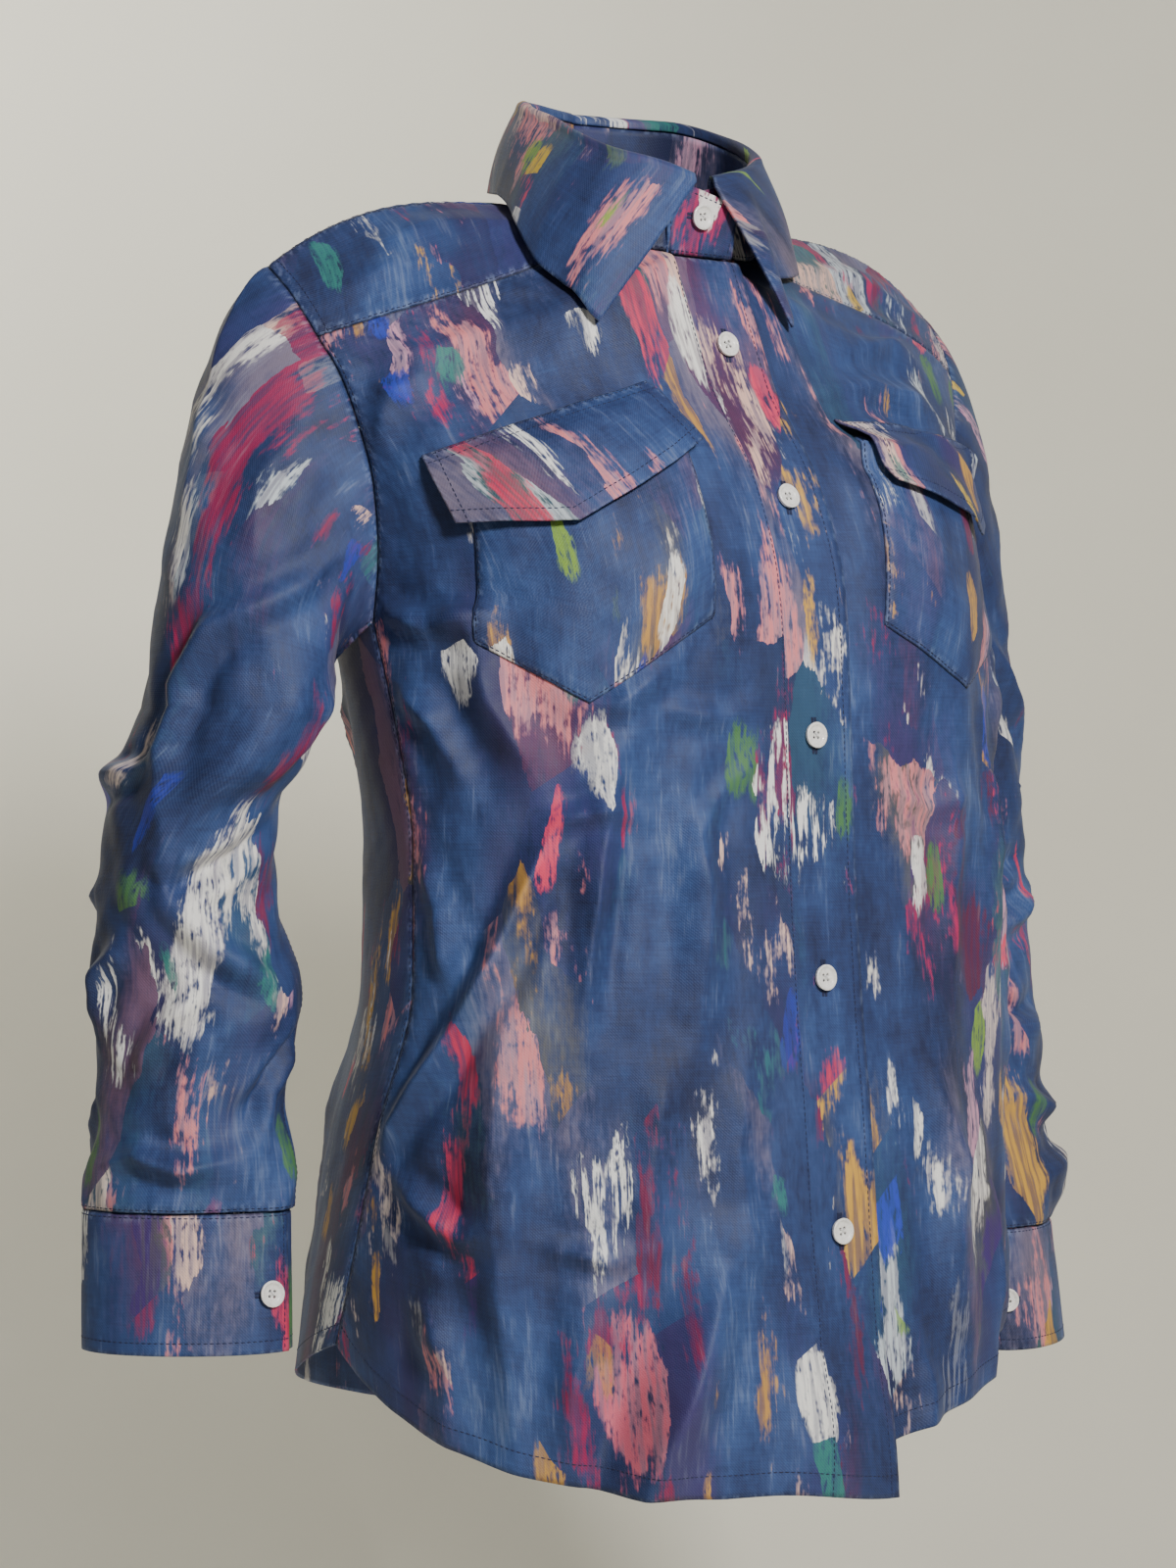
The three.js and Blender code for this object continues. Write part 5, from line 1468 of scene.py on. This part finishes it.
def denim(name):
    shop = Shop(name)
    x, y, _ = shop.split(shop.uv())
    sewn, free, _ = shop.split(shop.uv("edge"))
    cloudy = shop.noise(shop.join(x * 13.0, y * 8.0), detail=3.0, roughness=0.6)
    bristles = shop.noise(shop.join(x * 560.0, y * 52.0), detail=2.0, roughness=0.6)
    crumbs = shop.noise(shop.join(x * 300.0, y * 130.0), detail=2.0, roughness=0.65)
    wobble = shop.noise(shop.join(x * 30.0, y * 13.0), detail=2.0, roughness=0.6) - 0.5
    islands = shop.noise(shop.join(x * 15.0 + 3.7, y * 5.0 + 1.3), detail=2.0, roughness=0.55)
    smears = shop.noise(shop.join(x * 34.0 + 8.1, y * 10.5 + 5.2), detail=2.0, roughness=0.55)
    weft = shop.noise(shop.join(x * 60.0, y * 760.0), detail=1.0)

    strokes = shop.noise(shop.join(x * 105.0 + 2.9, y * 15.0), detail=3.0, roughness=0.6)
    streaks = shop.noise(shop.join(x * 330.0 + 6.1, y * 22.0), detail=2.0, roughness=0.6)
    tone = cloudy * 0.74 + strokes * 0.2 + bristles * 0.07 + crumbs * 0.17 + weft * 0.1 - 0.15
    base = shop.ramp(tone, [
        (0.36, srgb(20, 28, 66)), (0.48, srgb(33, 51, 98)), (0.58, srgb(46, 72, 124)),
        (0.7, srgb(67, 95, 146)), (0.85, srgb(106, 131, 174)),
    ])
    fray = (bristles - 0.5) * 0.22 + (crumbs - 0.5) * 0.2
    jagged = wobble + fray * 0.5
    pick, chance, middle = patches(shop, x, y, jagged, 0.034, 0.1, 5.3)
    pick_small, chance_small, middle_small = patches(shop, x, y, jagged, 0.016, 0.042, 61.7)

    colour = base
    wash = shop.step(islands + fray * 0.8, 0.46, 0.68)
    colour = shop.blend(wash * 0.7, colour, shop.ramp(pick, evenly(MUTED), "CONSTANT"))
    dry = shop.step(bristles * 0.5 + crumbs * 0.5, 0.36, 0.5)
    thin = 0.55 + shop.step(streaks, 0.38, 0.56) * 0.4
    chalk = shop.step(smears + fray + (islands - 0.5) * 0.9, 0.59, 0.67) * shop.step(chance, 0.44, 0.47)
    tint = shop.ramp(chance * 3.0 - 1.3, evenly(CHALKY), "CONSTANT")
    pale = shop.blend(shop.step(streaks + fray, 0.6, 0.4) * 0.45, tint, srgb(172, 160, 176))
    colour = shop.blend(chalk * dry * thin, colour, pale)
    strong = shop.step(smears * -1.0 + fray + (islands - 0.5) * 0.6, -0.44, -0.36)
    strong = strong * shop.step(pick, 0.5, 0.53)
    paints = shop.ramp(pick * 2.0 - 1.02, evenly(STRONG), "CONSTANT")
    paints = shop.blend(shop.step(streaks + fray, 0.62, 0.4) * 0.4, paints, srgb(66, 30, 72))
    colour = shop.blend(strong * thin, colour, paints)
    torn = fray * 2.2 + (smears - 0.5) * 2.2
    spot = shop.step(middle_small + torn, 0.48, 0.36) * shop.step(chance_small, 0.89, 0.91) * dry
    accents = shop.ramp(pick_small, evenly(BRIGHT), "CONSTANT")
    colour = shop.blend(spot * thin, colour, accents)
    flick = shop.step(middle + torn * 1.5 + wobble, 0.2, 0.08) * shop.step(chance, 0.13, 0.11)
    flick = flick * dry * shop.step(streaks + fray, 0.46, 0.56)
    colour = shop.blend(flick * thin, colour, srgb(236, 236, 234))
    scumble = shop.step(bristles * 0.4 + strokes * 0.4 + cloudy * 0.5, 0.7, 0.86)
    colour = shop.blend(scumble * 0.16, colour, srgb(180, 190, 210))

    thread_x = shop.node("ShaderNodeMath", [x * 9000.0], operation="SINE")
    thread_y = shop.node("ShaderNodeMath", [y * 9000.0], operation="SINE")
    twill = shop.node("ShaderNodeMath", [(x + y) * 4200.0], operation="SINE")
    weave = thread_x * 0.3 + thread_y * 0.3 + twill * 0.4
    colour = shop.blend(shop.step(weave, -0.6, 0.8) * 0.08, colour, srgb(150, 166, 200))
    # Painted shade: within about a millimetre of each seam the cloth turns dark navy. This stands in for the
    # shadow that lies in the seam's groove.
    painted_seam_shade = shop.step(sewn, 0.0012, 0.0002)
    colour = shop.blend(painted_seam_shade * 0.5, colour, srgb(16, 20, 44))
    rubbed = shop.step(sewn, 0.006, 0.002) + shop.step(free, 0.0022, 0.0004)
    colour = shop.blend(rubbed * shop.step(crumbs, 0.46, 0.66) * 0.2, colour, srgb(150, 168, 204))

    grain = shop.noise(shop.join(x * 820.0, y * 620.0), detail=1.0)
    shop.surface(colour, 0.58 + (crumbs - 0.5) * 0.24, weave * 0.3 + grain, 0.00025, 0.6)
    shop.shader.inputs["Specular IOR Level"].default_value = 0.36
    shop.shader.inputs["Sheen Weight"].default_value = 0.03
    shop.shader.inputs["Sheen Roughness"].default_value = 0.45
    return shop.material


# %% Pearl buttons and thread
def pearl():
    shop = Shop("pearl")
    x, y, z = shop.place()
    cloud = shop.fine_noise((x, y, z), 240.0, 3.0)
    bands = shop.noise(shop.join(x * 900.0, y * 160.0, z * 900.0), detail=2.0)
    tone = cloud * 0.6 + bands * 0.4
    colour = shop.ramp(tone, [
        (0.3, srgb(214, 212, 208)), (0.5, srgb(238, 236, 232)), (0.7, srgb(250, 249, 246)),
    ])
    shop.surface(colour, 0.22 + bands * 0.16, cloud, 0.0001, 0.3)
    shop.shader.inputs["Coat Weight"].default_value = 0.3
    return shop.material


def cotton(name, dark, light):
    shop = Shop(name)
    place = shop.place()
    fuzz, wander = shop.fine_noise(place, 2600.0, 2.0), shop.fine_noise(place, 60.0, 2.0)
    colour = shop.ramp(fuzz * 0.6 + wander * 0.4, [(0.35, dark), (0.65, light)])
    shop.surface(colour, 0.62 + fuzz * 0.2, fuzz, 0.0001, 0.5)
    return shop.material


cloth_material, pearl_material = denim("printed_denim"), pearl()
thread_material = cotton("navy_thread", srgb(18, 22, 48), srgb(40, 48, 88))
white_thread = cotton("white_thread", srgb(190, 190, 192), srgb(232, 232, 230))


def paint(thing, material):
    thing.data.materials.clear()
    thing.data.materials.append(material)


for name, piece in pieces.items():
    paint(piece["object"], pearl_material if name.startswith("button") else cloth_material)
for name, thing in threads.items():
    paint(thing, white_thread if name in BUTTONS else thread_material)
    "button" if name in BUTTONS else "denim"

# %% [markdown]
# ## What the cloth was cut to
# A sheet's flat size is measured along its own cloth, before creases take some of it up, and its area after.
# Only the first two sheets of a piece are counted for the size. The back yoke has a third one, the half
# behind the left shoulder, so its width here, 443 millimetres, is 6 less than the 449 that it really has.

# %% Sheets
flat_sizes = {}
for name, piece in pieces.items():
    if name.startswith("button"):
        continue
    spots = np.concatenate([s["uv"].reshape(-1, 2) for s in piece["sheets"][:2]])
    wide, tall = np.ptp(spots[:, 0]) * MM, np.ptp(spots[:, 1]) * MM
    area = piece["area"]
    others = [threads[name]] if name in threads else []
    flat_sizes[name] = (round(wide, 3), round(tall, 3), round(area, 4))
print("flat sizes:", flat_sizes)

# %% [markdown]
# ## A plain room
# The shirt hangs free, a little in front of a pale wall that curves into a pale floor. One small lamp above
# and before it gives the creases their shape, two weak wide ones keep the shadows open, and a fourth is
# turned away from the shirt, to the wall.

# %% Room
ROOM = {"size": 7, "behind": 1.0, "floor": -1.0, "tall": 4.5}


def model_room():
    clear_selection()
    bpy.ops.mesh.primitive_plane_add(size=ROOM["size"])
    room = bpy.context.object
    room.name = room.data.name = "room"
    bpy.ops.object.mode_set(mode="EDIT")
    bpy.ops.mesh.select_mode(type="EDGE")
    bpy.ops.mesh.select_all(action="DESELECT")
    bpy.ops.object.mode_set(mode="OBJECT")
    for edge in room.data.edges:
        middle = sum((room.data.vertices[v].co for v in edge.vertices), Vector()) / 2
        edge.select = middle.y > 3.4
    bpy.ops.object.mode_set(mode="EDIT")
    bpy.ops.mesh.extrude_region_move(TRANSFORM_OT_translate={"value": (0, 0, ROOM["tall"])})
    bpy.ops.object.mode_set(mode="OBJECT")
    apply_modifier(room, "BEVEL", width=0.5, segments=16, limit_method="ANGLE")
    room.data.transform(Matrix.Translation((0, ROOM["behind"] - ROOM["size"] / 2, ROOM["floor"])))
    room.data.transform(Matrix.Rotation(AZIMUTH, 4, "Z"))
    choose(room)
    bpy.ops.object.shade_smooth()
    return room


def plaster():
    shop = Shop("pale_wall")
    place = shop.place()
    cloud, grain = shop.fine_noise(place, 2.2, 3.0), shop.fine_noise(place, 140.0, 2.0)
    colour = shop.ramp(cloud, [(0.3, srgb(222, 218, 202)), (0.7, srgb(229, 226, 211))])
    shop.surface(colour, 0.8 + (grain - 0.5) * 0.1, grain, 0.0004, 0.2)
    # The wall is one-sided: a camera behind it looks through it and sees the back of the shirt.
    behind = shop.node("ShaderNodeNewGeometry", output=6) * shop.node("ShaderNodeLightPath", output=0)
    shop.plug(shop.shader.inputs["Alpha"], 1.0 - behind)
    return shop.material


room = model_room()
paint(room, plaster())

LAMPS = {
    "high front": {"at": (-0.35, -1.95, 0.7), "size": 0.4, "power": 56, "tint": (1, 0.98, 0.96)},
    "camera side": {"at": (-1.9, -1.0, 0.3), "size": 1.4, "power": 1.5, "tint": (0.95, 0.97, 1)},
    "left side": {"at": (1.8, -0.6, 0.4), "size": 1.4, "power": 1, "tint": (0.97, 0.98, 1)},
    "wall": {"at": (-0.75, 0.5, 0.7), "size": 0.6, "power": 22, "tint": (1, 0.99, 0.95)},
}
for name, lamp in LAMPS.items():
    place = Vector(lamp["at"])
    aim = Vector((-0.35, 1.6, 0.4)) if name == "wall" else Vector((0, 0, -0.3))
    bpy.ops.object.light_add(type="AREA", location=place)
    light = bpy.context.object
    light.name = name
    light.rotation_euler = (aim - place).to_track_quat("-Z", "Y").to_euler()
    light.data.size, light.data.energy, light.data.color = lamp["size"], lamp["power"], lamp["tint"]
world = bpy.context.scene.world or bpy.data.worlds.new("World")
bpy.context.scene.world = world
world.use_nodes = True
world.node_tree.nodes["Background"].inputs["Color"].default_value = (0.92, 0.92, 0.92, 1)
world.node_tree.nodes["Background"].inputs["Strength"].default_value = 0.11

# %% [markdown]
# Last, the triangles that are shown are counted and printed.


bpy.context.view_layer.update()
total = sum(sum(len(f.vertices) - 2 for f in o.data.polygons) for o in bpy.data.objects
            if o.type == "MESH" and not o.hide_render)
print("triangles shown:", total)
